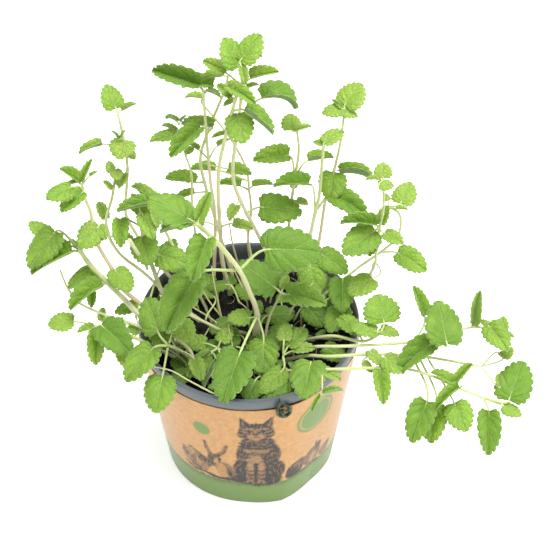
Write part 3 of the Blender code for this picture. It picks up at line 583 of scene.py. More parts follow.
def soil_height(x, y):
    """The height of the crumbly surface of the peat."""
    out = math.hypot(x, y) / (inner_wall(SOIL_TOP) - SOIL_GAP)
    level = SOIL_TOP - SOIL_SINK - SOIL_EDGE_DROP * out ** 4 + bumps(x, y, SOIL_SWELL) * (1 - out * 0.5)
    return level + bumps(x, y, SOIL_LUMPS) + bumps(x, y, SOIL_GRIT)


def soil_place(u, v):
    turn = math.radians(360 * u)
    out = (1 - v) * soil_edge
    x, y = math.cos(turn) * out, math.sin(turn) * out
    return Vector((x, y, soil_height(x, y)))


soil = shaped_grid("peat_plug", SOIL_STEPS, SOIL_RINGS, soil_place)
finish_mesh(soil, outward=False)
# The rim of the crumbly top is drawn down inside the pot, and closed at the floor.
for vertex in soil.data.vertices:
    vertex.select = math.hypot(vertex.co.x, vertex.co.y) > (soil_edge - 0.01) * MM
for edge in soil.data.edges:
    edge.select = all(soil.data.vertices[i].select for i in edge.vertices)
for face in soil.data.polygons:
    face.select = False
bpy.ops.object.mode_set(mode="EDIT")
bpy.ops.mesh.select_mode(type="EDGE")
foot = inner_wall(4.2) - SOIL_GAP
waist = inner_wall(SOIL_WAIST) - SOIL_GAP
rings = ((SOIL_WAIST, waist), (POT_FLOOR + 2.4, foot), (POT_FLOOR + 0.3, foot - 1.6))
for height, radius in rings:
    bpy.ops.mesh.extrude_region_move()
    bpy.ops.transform.resize(value=(radius / soil_edge,) * 2 + (0,), center_override=(0, 0, height * MM))
    soil_edge = radius
bpy.ops.mesh.edge_face_add()
bpy.ops.mesh.select_mode(type="VERT")
bpy.ops.object.mode_set(mode="OBJECT")
finish_mesh(soil)

# Loose crumbs: one lumpy shape, copied, squashed and turned, and sunk a little into the surface.
clear_selection()
bpy.ops.mesh.primitive_ico_sphere_add(subdivisions=1, radius=1.0 * MM, location=(0, 0, 0))
crumb = bpy.context.object
chance = random.Random(11)
for vertex in crumb.data.vertices:
    vertex.co *= chance.uniform(0.7, 1.15)
crumbs = []
for _ in range(CRUMBS):
    turn, out = chance.uniform(0, math.tau), CRUMB_REACH * math.sqrt(chance.random())
    x, y = math.cos(turn) * out, math.sin(turn) * out
    size = chance.choice(CRUMB_SIZES)
    copy = crumb.copy()
    copy.data = crumb.data.copy()
    spin = Matrix.Rotation(chance.uniform(0, math.tau), 4, Vector((chance.random(), chance.random(), 0.5)))
    flat = Matrix.Diagonal((size, size * chance.uniform(0.6, 1), size * chance.uniform(0.5, 0.9), 1))
    spot = Vector((x, y, soil_height(x, y) + size * 0.3)) * MM
    copy.data.transform(Matrix.Translation(spot) @ flat @ spin)
    bpy.context.scene.collection.objects.link(copy)
    crumbs.append(copy)
bpy.data.objects.remove(crumb, do_unlink=True)
crumbs = joined(*crumbs)
crumbs.name = "peat_crumbs"

# Damp peat: near black brown, with lighter dry crumbs, rough all over and only just glinting with water.
damp_peat, tree = new_surface("damp_black_peat")
place = node(tree, "TexCoord").outputs["Object"]
lumps = spots(tree, place, 480.0, 6.0, 0.65)
grains = node(tree, "TexVoronoi", {"Vector": place, "Scale": 620.0, "Randomness": 1.0})
dry = ramp(tree, lumps, (0.5, 0.72))
brown = mix(tree, dry, linear("0e0d0f"), linear("33291f"))
relief = bump(tree, grains.outputs["Distance"], 0.7, 0.0006)
principled(tree, {"Base Color": brown, "Roughness": 0.88, "Normal": relief, "IOR": 1.4})
for piece in (soil, crumbs):
    piece.data.materials.clear()
    piece.data.materials.append(damp_peat)
keep(soil, "peat", "soil")
keep(crumbs, "peat")

# ---------------------------------------------------------------------------------------------
# Stems. Soft square catnip stems, pale green and downy, flushed cream and pink low down, a little swollen
# where leaves join them. They grow out of the peat, and each stem and the piece of its smaller leaves stand
# for the same CAD node.
# ---------------------------------------------------------------------------------------------
STEM_SIDES = 16
RINGS_PER_SPAN = 9
JOINT_SWELL = 0.2
JOINT_LENGTH = 1.5
ROOT_DEPTH = 3.0
SQUARENESS = 0.55
# The part of a stem's height over which it goes from pale to green, and from pink to plain.
PALE_PART = 0.75
FLUSH_PART = 1.2
STEM_CREAM = "f3efd6"
STEM_PINK = "e0c29c"
STEM_GREEN = "dde3ac"
STEM_DEEP = "c4cf86"

# Each stem is its path, its width at the root and at the tip, and its leaves. A leaf is
# (where on the path, turn of the stalk, length of the stalk, rise of the stalk, length of the
# blade, rise of the blade, roll, width as a part of the length, bend) and, where the blade turns
# away from its stalk, the turn of the blade. Turn 0 is +X, 90 is +Y, and angles are in degrees.
# Leaves are kept in this order, because each takes its own twist and fold by chance, in turn.
PLANT = {
    "a": ([(3, -4, 94), (5, -7, 118), (1, -9, 138), (-5, -12, 160), (-17, -18, 188), (-27, -24, 207)],
          3.4, 2.4,
          [(3, 188, 25, -5, 36, -36, -5, 0.62, 20, 236), (3, 17, 20, 35, 32, -4, 38, 0.85, 25, 358),
           (1, 288, 15.5, -38, 22, -33, 0, 0.86, 20, 268), (1, 254, 35, 6, 32, -22, 0, 0.74, 25, 252),
           (4.3, 250, 5, 10, 25, -30, 0, 0.62, 25), (5, 158, 4, 25, 26, 14, 0, 0.92, 15),
           (5, 60, 3, 50, 16, 38, 20, 0.5, 10), (5, 190, 3, -10, 18, -10, 10, 0.5, 20),
           (1, 198, 4.5, -13, 14, -6, 0, 1.05, 10, 171)]),
    "b": ([(9, -8, 94), (12, -6, 115), (19, -5, 134)],
          1.8, 1.4,
          [(2, 345, 3, 0, 24, -6, 20, 0.62, 20), (2, 145, 4, 25, 28, 14, 0, 0.8, 15),
           (2, 70, 3, 40, 9, 20, 0, 0.7, 10)]),
    "c": ([(18, 38, 94), (9, 42, 125), (-5, 43, 163), (-9, 43, 183), (-7, 44, 208), (-5, 45, 224),
           (-3, 46, 246), (-4, 47, 262)],
          2.6, 1.6,
          [(1.7, 16, 9, 16, 25, -8, 30, 0.78, 20, 355), (2, 250, 7, 10, 11, -15, 0, 0.7, 30),
           (5, 23, 17.5, 33, 24, -34, 0, 0.6, 80, 16), (3.9, 145, 8, 26, 8, -5, -20, 0.4, 20, 199),
           (6, 159, 12, 35, 15, 7, -25, 0.55, 15, 148), (6, 14, 7, 40, 16, 5, 10, 0.5, 10),
           (6.75, 155, 1.5, 24, 18, 42, 0, 0.95, 10, 127), (7, 47, 1.5, 46, 18, 38, 0, 1, 10, 37),
           (7, 10, 4, 20, 9, 5, 0, 0.5, 10), (7, 290, 3, -20, 10, -50, 0, 0.6, 10),
           (5.6, 53, 7, 36, 7, 6, 0, 0.4, 20, 13)]),
    "d": ([(-12, 34, 94), (-16, 36, 119), (-17, 36, 148), (-17, 35, 190), (-12, 36, 220),
           (-6, 36, 247)],
          2.6, 1.8,
          [(4.9, 140, 3, 20, 11, 15, -30, 0.55, 20), (5, 143, 6.5, 28, 18, -18, 20, 0.5, 30, 334),
           (4.5, 1, 3.5, 0, 17, -38, 10, 1, 20, 284), (4.6, 338, 8, 20, 21, -36, -15, 0.5, 15),
           (4.6, 77, 6.5, 48, 7, -25, 0, 0.7, 10, 202), (2, 350, 9, 25, 12, -15, 20, 0.6, 20),
           (2, 175, 10, 20, 13, 0, -30, 0.6, 20)]),
    "e": ([(-22, 32, 94), (-20, 44, 146), (-22, 46, 172), (-23, 48, 190), (-24, 50, 214),
           (-25, 53, 237)],
          2, 1.4,
          [(5, 146, 4, 37, 28, 8, -35, 0.42, 10, 162), (4.9, 42, 7.5, 23, 18, -8, -10, 0.6, 30, 179),
           (5, 330, 3, 20, 9, -10, -20, 0.5, 30), (3, 150, 8, 35, 9, 10, 0, 0.4, 10),
           (3, 30, 10, 50, 8, 10, 0, 0.4, 10), (4, 207, 2, -16, 24, -28, -15, 0.52, 20, 216),
           (3.75, 48, 5.5, 29, 18, 4, 0, 0.3, 20, 179)]),
    "f": ([(-10, 46, 94), (-20, 50, 140), (-26, 53, 168), (-28, 56, 184), (-24, 58, 200),
           (-19, 60, 214), (-14, 61, 228), (-11, 62, 240)],
          2.2, 1.4,
          [(7, 200, 4, 20, 13, 0, 0, 0.5, 20), (2, 186, 5.5, 5, 18, 2, 0, 0.62, 20, 172),
           (1.7, 200, 8, 10, 12, -10, 0, 0.55, 20), (2.8, 349, 17, -7, 14, -6, 15, 0.65, 20, 345)]),
    "g": ([(1, 54, 94), (-1, 56, 118), (1, 57, 140), (0, 58, 157), (-2, 60, 174), (-12, 64, 195),
           (-27, 67, 217)],
          1.6, 1.2,
          [(6, 75, 2.5, 39, 10, 0, 0, 0.5, 30, 180), (3, 40, 3.5, 27, 12, 0, 0, 0.45, 25, 4),
           (3, 165, 6, 20, 14, -10, 0, 0.5, 25), (3.4, 165, 21, 11, 15, -3, 0, 0.5, 10, 177)]),
    "h": ([(20, 46, 94), (23, 48, 130), (25, 50, 155), (27, 52, 173), (29, 53, 192), (28, 54, 206)],
          2, 1.4,
          [(3, 119, 13, 48, 21, 0, -25, 0.6, 15, 192), (3, 10, 14, 55, 15, -2, 0, 0.4, 15),
           (5, 177, 3.5, 16, 11, 20, 0, 1.1, 10, 93), (5, 190, 1.5, 36, 10, 4, 8, 0.5, 10, 16),
           (2, 325, 5, 40, 8, 5, 10, 0.75, 20), (2, 80, 8, 30, 10, -5, 0, 0.6, 30)]),
    "i": ([(28, 33, 94), (34, 35, 129), (39, 40, 157), (41, 41, 168), (42, 42, 187), (43, 43, 205)],
          2.4, 1.6,
          [(2, 121, 17, 60, 21, 2, -10, 0.5, 20, 190), (2, 29, 13, 33, 24, -14, 25, 0.6, 30, 332),
           (5, 82, 1.5, 44, 14, 10, 10, 0.75, 10, 33), (4.9, 79, 1.5, 34, 7, 0, -10, 0.7, 10, 151),
           (1, 330, 10, 15, 20, -22, 20, 0.8, 20), (1, 282, 10, -10, 20, -38, 10, 0.9, 15)]),
    "j": ([(36, 38, 94), (42, 47, 128), (45, 51, 155), (49, 53, 173), (51, 54, 184), (53, 55, 197),
           (55, 59, 217)],
          2.2, 1.5,
          [(3.3, 263, 1.5, -31, 16, -50, 0, 1.1, 10, 257), (3, 350, 6, 30, 19, -10, 0, 0.3, 60),
           (6, 86, 3.5, 46, 16, 30, 0, 1.2, 10, 45), (6, 122, 1.5, 52, 13, -10, -15, 0.8, 25, 188),
           (6, 159, 1.5, 26, 10, -14, 2, 0.9, 20, 336), (5.85, 140, 4, 50, 8, 30, 0, 0.4, 10)]),
    "k": ([(40, 5, 94), (58, 8, 114), (72, 12, 136), (74, 14, 150), (75, 16, 165), (77, 18, 180),
           (76, 21, 199)],
          2, 1.4,
          [(4, 65, 3, 45, 12, 32, 0, 0.65, 10), (4, 182, 4, 60, 21, 4, -20, 0.4, 30),
           (4.1, 214, 1.5, -18, 24, -12, -20, 0.8, 15, 218), (3.9, 245, 4, -20, 12, -35, 0, 0.7, 15),
           (4, 325, 4, -20, 13, -5, 10, 0.75, 15), (6, 86, 1.5, 0, 9, 39, 0, 1.25, 10, 90),
           (6, 235, 4.5, -12, 9, -8, 15, 0.9, 20, 4), (6, 185, 2, 10, 8, 0, 0, 0.5, 20),
           (0.9, 245, 3, 10, 20, -10, 0, 0.8, 10), (1.7, 300, 7, 40, 17, -12, 0, 1, 15, 216)]),
    "l": ([(31, 15, 94), (43, 18, 108), (53, 19, 118), (65, 20, 131), (78, 20, 144), (86, 22, 153),
           (88, 24, 163), (86, 26, 169), (81, 27, 172)],
          1.8, 1.3,
          [(8, 12, 7, 16, 15, 20, 0, 1, 10, 65), (8, 110, 4, 50, 5, 20, 0, 0.9, 10),
           (8, 345, 4, 0, 7, 5, 0, 0.6, 10), (3.9, 359, 10, -3, 20, -18, 20, 0.75, 20, 331),
           (2.2, 268, 6, 50, 23, -14, 10, 0.75, 25)]),
    "m": ([(24, -14, 94), (38, -22, 107), (54, -28, 114), (78, -31, 119), (99, -31, 122),
           (121, -29, 129), (131, -29, 131), (142, -33, 131)],
          2.2, 1.4,
          [(4.4, 287, 15, 29, 27, 22, 10, 0.85, 10, 100), (3.85, 67, 16, 38, 18, 36, 0, 0.45, 10, 117),
           (4.5, 210, 8, -25, 25, -22, -10, 0.6, 30, 217), (6.3, 8, 3.5, -6, 8, 6, 0, 0.7, 10, 134),
           (6, 158, 2.5, 25, 20, 35, 0, 0.32, 10, 77), (7, 319, 2.5, -28, 12, 24, -15, 0.75, 10, 81),
           (6.5, 73, 2, 35, 19, -15, 20, 0.75, 20, 303), (7, 350, 2, -20, 8, -15, 0, 0.6, 10)]),
    "n": ([(22, -20, 94), (34, -28, 106), (47, -35, 113), (70, -36, 116), (94, -37, 116),
           (110, -39, 115), (133, -42, 112)],
          2.4, 1.5,
          [(4, 289, 28, -33, 25, -34, -5, 0.68, 15, 245), (4.2, 295, 30, -39, 22, -40, 0, 0.7, 10, 258),
           (4.5, 304, 31, -28, 18, -22, 10, 0.95, 15, 291),
           (2.85, 20, 3.5, 25, 12, -15, -10, 0.75, 15, 307), (6, 28, 13, 25, 6, -7, 0, 0.7, 10, 312),
           (6, 15, 14, 15, 9, 9, 0, 0.8, 10, 52), (6, 317, 15.5, -21, 8, 15, 0, 0.7, 10, 95),
           (3, 217, 6.5, -32, 8, -30, 0, 0.75, 15, 321)]),
    "o": ([(14, -30, 94), (30, -40, 107), (49, -44, 112), (85, -44, 113), (104, -49, 112),
           (120, -54, 107), (134, -57, 102)],
          2.2, 1.4,
          [(6, 294, 8.5, -32, 25, -38, 0, 0.58, 15, 267), (6, 349, 14.5, 6, 26, 18, 0, 0.85, 10, 68),
           (6, 335, 12, -5, 12, -15, 10, 0.8, 10), (2.7, 275, 2, 0, 20, -32, 0, 0.52, 10),
           (3.05, 153, 10.5, 24, 15, -12, 8, 0.85, 15, 318),
           (1.1, 29, 6, 39, 25, -12, 0, 0.85, 15, 259), (4.5, 334, 8, -11, 19, -22, 0, 0.38, 50, 220),
           (1.6, 341, 2.5, -13, 12, -10, 0, 0.7, 10, 335), (4.5, 348, 4, 0, 14, 12, 0, 0.6, 10, 157),
           (4.6, 2, 4.5, 0, 15, 20, 0, 0.4, 10, 47)]),
    "p": ([(-42, 22, 94), (-61, 26, 118), (-75, 28, 132), (-82, 31, 145), (-83, 34, 156),
           (-79, 38, 170), (-76, 42, 186)],
          2.2, 1.5,
          [(6, 120, 1.5, 37, 8, -15, 0, 1, 20, 286), (5.85, 159, 3, 39, 8, 16, 0, 0.8, 10, 105),
           (5.6, 241, 5, -36, 8, 11, 0, 0.5, 10, 129), (3, 330, 5, 20, 14, 10, 0, 0.5, 10),
           (2.7, 112, 14, 42, 12, 21, 0, 0.6, 20, 113)]),
    "q": ([(-38, 32, 94), (-60, 36, 128), (-71, 40, 150), (-72, 43, 160), (-70, 49, 184),
           (-72, 53, 206), (-74, 55, 219)],
          2.2, 1.4,
          [(6, 118, 3, 40, 15, 36, 0, 0.92, 10), (6, 25, 3, 20, 9, 10, 0, 0.35, 10),
           (5.1, 288, 6, -44, 12, -29, 0, 1.35, 10, 256), (4.5, 358, 1.5, -27, 8, -19, 0, 0.8, 10, 306),
           (4.6, 180, 13.5, 0, 14, -14, 0, 0.4, 40, 200), (3.9, 250, 4, 0, 10, -20, 0, 0.7, 10),
           (3, 320, 6, 20, 20, -20, 20, 0.45, 40)]),
    "r": ([(-45, 0, 94), (-64, 6, 114), (-75, 10, 124), (-80, 13, 137), (-88, 17, 155), (-90, 21, 173),
           (-93, 23, 184), (-94, 25, 191)],
          3, 1.5,
          [(7, 145, 2, 30, 15, 12, 0, 0.5, 10), (7, 60, 2, 50, 14, 42, 0, 0.35, 10),
           (7, 45, 7, 26, 5, 16, 0, 0.6, 10, 30), (6.7, 210, 8, 30, 16, -8, 0, 1, 15),
           (7, 161, 3.5, 21, 7, -6, 0, 0.5, 20, 207), (6.3, 270, 4.5, 45, 17, -20, -10, 0.7, 15, 221),
           (4.6, 336, 4, -14, 18, -12, -30, 0.85, 15, 234), (4.5, 4, 3.5, 0, 10, -19, 0, 0.7, 10, 298),
           (2.9, 300, 5, 42, 17, -18, 0, 0.9, 12, 307)]),
    "s": ([(-40, -8, 94), (-63, -3, 113), (-74, 2, 124), (-85, 6, 136), (-93, 9, 146), (-98, 11, 156)],
          3.2, 2.4,
          [(4.85, 163, 21, 16, 14, 5, 0, 0.8, 10, 136), (5, 163, 15.5, 31, 26, -32, 0, 0.8, 10, 228),
           (4.7, 195, 5, 6, 27, -16, 0, 0.52, 15, 207), (4, 60, 10.5, -70, 18, -12, 0, 0.85, 15, 222),
           (3, 269, 2, -47, 24, -14, 0, 0.5, 40, 218), (5, 276, 2, -66, 8, 35, 0, 0.5, 10, 136)]),
    "t": ([(-42, -14, 94), (-63, -10, 111), (-80, -5, 114), (-98, 0, 120), (-105, 3, 130),
           (-109, 7, 141)],
          1.8, 1.2,
          [(2, 192, 6.5, -15, 9, 16, 0, 0.6, 10, 85), (1.3, 200, 5, 10, 14, -5, 0, 0.6, 20)]),
    "u": ([(-38, -22, 94), (-60, -22, 111), (-74, -18, 115), (-87, -14, 116)],
          2.2, 1.6,
          [(3, 174, 15, 8, 15, -8, 0, 1.05, 15, 182), (3, 265, 3, -20, 20, -45, 0, 0.55, 15),
           (3, 315, 4, 40, 26, -12, 15, 0.75, 25), (3, 200, 3, 0, 10, -5, 0, 0.6, 10),
           (2, 285, 8, -40, 15, -25, 0, 0.8, 10)]),
    "v": ([(-30, 12, 94), (-49, 15, 110), (-56, 20, 128), (-60, 23, 145), (-62, 26, 158),
           (-62, 28, 167)],
          3.2, 2.4,
          [(5, 295, 3, 10, 16, -28, 0, 0.7, 15), (5, 120, 3, 40, 10, 20, 0, 0.5, 20),
           (4, 168, 12.5, 12, 17, -30, 0, 0.62, 15, 271), (3.4, 186, 2, 23, 19, -25, 25, 0.95, 15, 291),
           (2.6, 345, 6, 20, 22, -12, 25, 0.78, 15)]),
    # low leaves over the front of the soil
    "w": ([(-26, -30, 94), (-38, -28, 109), (-46, -30, 117)],
          2.2, 1.6,
          [(2, 260, 19, -26, 22, -26, 0, 0.88, 15), (1.6, 331, 14, -14, 14, -24, 0, 0.7, 15, 292),
           (2, 210, 10, 15, 25, -22, 0, 0.75, 15, 230), (2, 135, 9.5, 31, 24, 16, -20, 0.8, 10, 108),
           (1.5, 110, 6, 0, 20, -8, -10, 0.9, 10, 130), (2, 59, 15.5, 33, 15, -20, 0, 0.95, 10, 295)]),
    "x": ([(20, -26, 94), (20, -27, 105)],
          1.6, 1.2,
          [(1, 268, 11, -3, 20, -16, 0, 0.8, 10, 225), (1, 50, 6, 40, 17, 5, 0, 0.75, 10),
           (1, 5, 7, 30, 13, 5, 0, 0.7, 10), (1, 85, 9, 55, 13, 5, 0, 0.8, 10)]),
    "y": ([(28, -6, 94), (48, -18, 112), (66, -26, 116), (76, -27, 124)],
          2, 1.4,
          [(3, 71, 6.5, 37, 18, 21, 0, 1.25, 10, 103), (3, 172, 3, 20, 15, 5, 0, 0.8, 10),
           (2.85, 69, 3.5, 23, 12, -2, 0, 0.8, 10, 335), (2, 130, 5, 30, 18, 0, 0, 0.7, 10)]),
    "z": ([(-12, -16, 94), (-18, -20, 104)],
          1.6, 1.2,
          [(1, 172, 8, 20, 17, 0, 0, 0.85, 10), (1, 285, 10, 5, 15, -12, 0, 0.9, 10),
           (1, 235, 12, 15, 18, -8, 0, 0.8, 10), (1, 60, 4, 40, 12, 10, 0, 0.9, 10)]),
    "aa": ([(-28, 38, 94), (-33, 44, 150), (-33, 45, 180), (-36, 48, 193), (-39, 52, 204)],
           1.6, 1.2,
           [(4, 195, 2, 20, 16, -4, 0, 0.7, 20), (4, 160, 4, 50, 9, 10, 0, 0.3, 50),
            (3, 39, 6, 43, 6, -15, 0, 0.9, 10, 237)]),
    "bb": ([(-26, 22, 94), (-38, 25, 125), (-49, 27, 155), (-54, 29, 171)],
           2.2, 1.6,
           [(3, 113, 1.5, 50, 22, -8, 0, 0.42, 15, 191), (2.75, 104, 5, 33, 18, 12, 0, 0.38, 45, 145),
            (2.9, 124, 6, 36, 11, 12, 0, 0.6, 15, 140), (3, 280, 2, 0, 12, -30, 0, 0.6, 15)]),
}

# How pink each stem is low down: stems not named here are plain.
STEM_FLUSH = {"a": 0.4, "d": 0.5, "e": 0.7, "g": 0.5, "h": 0.6, "j": 0.6, "r": 1.0, "c": 0.2, "s": 0.1}


def heading(turn, rise):
    """The direction with this turn and rise, in degrees."""
    turn, rise = math.radians(turn), math.radians(rise)
    return Vector((math.cos(turn) * math.cos(rise), math.sin(turn) * math.cos(rise), math.sin(rise)))


def along(points, place):
    """The point at a place on a smooth curve through the points, where place counts spans."""
    last = len(points) - 1
    i = min(int(place), last - 1)
    t = place - i
    before = points[i - 1] if i else points[0] * 2 - points[1]
    after = points[i + 2] if i + 2 <= last else points[last] * 2 - points[last - 1]
    a, b = points[i], points[i + 1]
    return 0.5 * (
        2 * a + (b - before) * t + (2 * before - 5 * a + 4 * b - after) * t ** 2
        + (3 * a - before - 3 * b + after) * t ** 3
    )


def tube(name, centres, widths, sides, first_out, squareness=0.0):
    """A closed tube along the centres. Each ring is round, or square with round corners."""
    frames = []
    out = first_out
    for i, centre in enumerate(centres):
        ahead = (centres[min(i + 1, len(centres) - 1)] - centres[max(i - 1, 0)]).normalized()
        out = (out - ahead * out.dot(ahead)).normalized()
        frames.append((centre, out, ahead.cross(out)))

    def ring_place(u, v):
        i = round(v * (len(centres) - 1))
        centre, out, side = frames[i]
        turn = math.tau * u
        reach = widths[i] / 2
        if squareness:
            c, s = abs(math.cos(turn)), abs(math.sin(turn))
            reach *= 1 + squareness * ((c ** 5 + s ** 5) ** -0.2 - 1.1)
        return centre + (out * math.cos(turn) + side * math.sin(turn)) * reach

    return shaped_grid(name, sides, len(centres) - 1, ring_place)


def paint_point(piece, name, value_of):
    """Gives each point of the piece a number under a name, for its material to read."""
    values = piece.data.attributes.new(name, "FLOAT", "POINT")
    for i, vertex in enumerate(piece.data.vertices):
        values.data[i].value = value_of(vertex.co)


def thin_skin(tree, inputs, through, glow):
    """The finish of thin living skin: a plain shader, mixed with the light that comes through it."""
    shader = node(tree, "BsdfPrincipled", inputs)
    lit = node(tree, "BsdfTranslucent", glow)
    both = node(tree, "MixShader", {0: through, 1: shader.outputs["BSDF"], 2: lit.outputs["BSDF"]})
    node(tree, "OutputMaterial", {"Surface": both.outputs["Shader"]})


# Catnip stem: smooth green skin, paler and pinker low down, under short soft down.
catnip_stem, tree = new_surface("downy_catnip_stem")
place = node(tree, "TexCoord").outputs["Object"]
low = node(tree, "Attribute", attribute_name="low").outputs["Fac"]
flush = node(tree, "Attribute", attribute_name="flush").outputs["Fac"]
patches = spots(tree, place, 120.0, 3.0)
green = mix(tree, patches, linear(STEM_DEEP), linear(STEM_GREEN))
pale = mix(tree, low, green, linear(STEM_CREAM))
rosy = maths(tree, "MULTIPLY", flush, patches, clamp=True)
skin = mix(tree, rosy, pale, linear(STEM_PINK))
down = spots(tree, place, 2200.0, 1.0)
relief = bump(tree, down, 0.3, 0.0001)
thin_skin(tree, {
    "Base Color": skin, "Roughness": 0.5, "Normal": relief, "IOR": 1.42,
    "Sheen Weight": 0.35, "Sheen Roughness": 0.5, "Sheen Tint": linear("e9f0d8"),
}, 0.3, {"Color": skin})

plant_paths = {key: [Vector(point) for point in row[0]] for key, row in PLANT.items()}
for number, (key, (_, root_width, tip_width, leaves)) in enumerate(PLANT.items(), 1):
    path = plant_paths[key]
    spans = len(path) - 1
    steps = [i / RINGS_PER_SPAN for i in range(spans * RINGS_PER_SPAN + 1)]
    for leaf in leaves:
        nearest = min(range(len(steps)), key=lambda i: abs(steps[i] - leaf[0]))
        if 0 < nearest < len(steps) - 1:
            steps[nearest] = leaf[0]
    steps.sort()
    centres = [along(path, step) for step in steps]
    joints = [along(path, min(leaf[0], spans)) for leaf in leaves]
    widths = []
    for step, centre in zip(steps, centres):
        near = min((centre - joint).length for joint in joints)
        swell = 1 + JOINT_SWELL * math.exp(-(near / JOINT_LENGTH) ** 2)
        widths.append((root_width + (tip_width - root_width) * step / spans) * swell)
    root = centres[0] - Vector((0, 0, ROOT_DEPTH))
    tip = centres[-1] + (centres[-1] - centres[-2]).normalized() * tip_width * 0.5
    centres = [root - Vector((0, 0, 0.5)), root] + centres + [tip]
    widths = [0.0, widths[0]] + widths + [0.0]
    widths[-2] *= 0.8
    stem = tube(f"stem_{number:02d}_skin", centres, widths, STEM_SIDES, heading(leaves[0][1], 0), SQUARENESS)
    top = centres[-1].z - SOIL_TOP
    paint_point(stem, "low", lambda at: max(0.0, 1 - (at.z / MM - SOIL_TOP) / (PALE_PART * top)) ** 0.8)
    pink = STEM_FLUSH.get(key, 0.0)
    paint_point(stem, "flush", lambda at: pink * max(0.0, FLUSH_PART - (at.z / MM - SOIL_TOP) / top))
    finish_mesh(stem)
    stem.data.materials.append(catnip_stem)
    keep(stem, "stem", f"stem_{number:02d}")

# ---------------------------------------------------------------------------------------------
# Leaves. Heart-shaped catnip leaves in pairs, each on a thin arched stalk: soft, thin, downy blades
# with round teeth, puffed up between a mesh of sunken veins, and paler underneath. The blade grows
# from its stalk, whose end runs on under the blade as the midrib.
# ---------------------------------------------------------------------------------------------
OWN_LEAF = 23
LEAST_STALK = 1.5
# Half of the outline, from the stalk round to the tip: (along the blade, half width).
LEAF_OUTLINE = (
    (0.0, 0.0), (-0.03, 0.08), (-0.065, 0.2), (-0.05, 0.32), (0.03, 0.425), (0.16, 0.487), (0.32, 0.5),
    (0.48, 0.482), (0.63, 0.43), (0.77, 0.345), (0.88, 0.245), (0.955, 0.14), (1.0, 0.0),
)
OUTLINE_STEPS = 40
VEIN_PAIRS = 6
BLADE_THICK = 0.32
# Blade models: (teeth on a side, rows for a tooth, columns on a side, depth of a tooth, puff).
BLADE_MODELS = {"large": (9, 6, 7, 0.06, 0.026), "small": (7, 4, 5, 0.066, 0.028)}
LARGE_BLADE = 15
TOOTH_ROUNDING = 0.55
# How leaves differ: twist in degrees either way, fold along the midrib, droop of the sides, height of
# the ripples along the edge and how many there are.
LEAF_TWIST = 16
LEAF_FOLD = (0.16, 0.36)
LEAF_DROOP = (0.5, 1.5)
LEAF_RIPPLE = (0.01, 0.03)
LEAF_BEAT = (5, 9)
BROAD_BLADE = 0.78
# A blade is young at the first length and old at the second.
LEAF_GROWTH = (8, 28)
# Stalk and midrib: thickness of the smallest and what each millimetre of blade adds, sides and rings.
STALK_THICK = (0.75, 0.02)
STALK_SIDES = 8
STALK_RINGS = 10
STALK_BOW = (30, 0.33)
MIDRIB_RINGS = 8
LEAF_DEEP = "749e36"
LEAF_MID = "9ec54c"
LEAF_YOUNG = "b1ca60"
LEAF_VEIN = "bdd683"
# Pale leaf edge: partly the downy margin, partly a painted highlight.
LEAF_EDGE_AND_HIGHLIGHT = "b3c98c"
LEAF_UNDER = "98ac78"
LEAF_LIT = "bcd43a"

outline = [Vector(point) for point in LEAF_OUTLINE]
outline = [along(outline, i / OUTLINE_STEPS) for i in range((len(outline) - 1) * OUTLINE_STEPS + 1)]
outline_run = [0.0]
for near, far in zip(outline, outline[1:]):
    outline_run.append(outline_run[-1] + (far - near).length)


def outline_at(t):
    """The point of the outline a part t of the way round it, and the outward direction there."""
    wanted = t * outline_run[-1]
    k = next((i for i in range(1, len(outline_run)) if outline_run[i] >= wanted), len(outline_run) - 1)
    part = (wanted - outline_run[k - 1]) / (outline_run[k] - outline_run[k - 1])
    tangent = (outline[k] - outline[k - 1]).normalized()
    return outline[k - 1].lerp(outline[k], part), Vector((-tangent.y, tangent.x))


def model_blade(teeth, rows_per_tooth, across, tooth_depth, puff):
    """One flat blade of length 1: rows of points run from the midrib along the side veins to the teeth."""

    def blade_place(u, v):
        u = 2 * u - 1
        reach, side = abs(u), (1 if u > 0 else -1)
        edge, outward = outline_at(v)
        wave = abs(math.sin(math.pi * teeth * v)) ** TOOTH_ROUNDING
        edge = edge - outward * tooth_depth * (1 - wave) * min(1, v * 12) * reach ** 5
        rib = v ** 3.4
        y = rib + (edge.x - rib) * reach ** 1.3
        x = edge.y * reach
        panel = abs(math.sin(math.pi * VEIN_PAIRS * v ** 0.85)) ** 0.7
        lift = puff * panel * math.sin(math.pi * reach ** 0.8) ** 0.6 * min(1, 8 * edge.y)
        lift -= 0.035 * reach ** 4 * edge.y / 0.5
        return Vector((x * side, y, lift)) / MM

    return shaped_grid("blade", across * 2, teeth * rows_per_tooth, blade_place)


blade_models = {size: model_blade(*sizes) for size, sizes in BLADE_MODELS.items()}


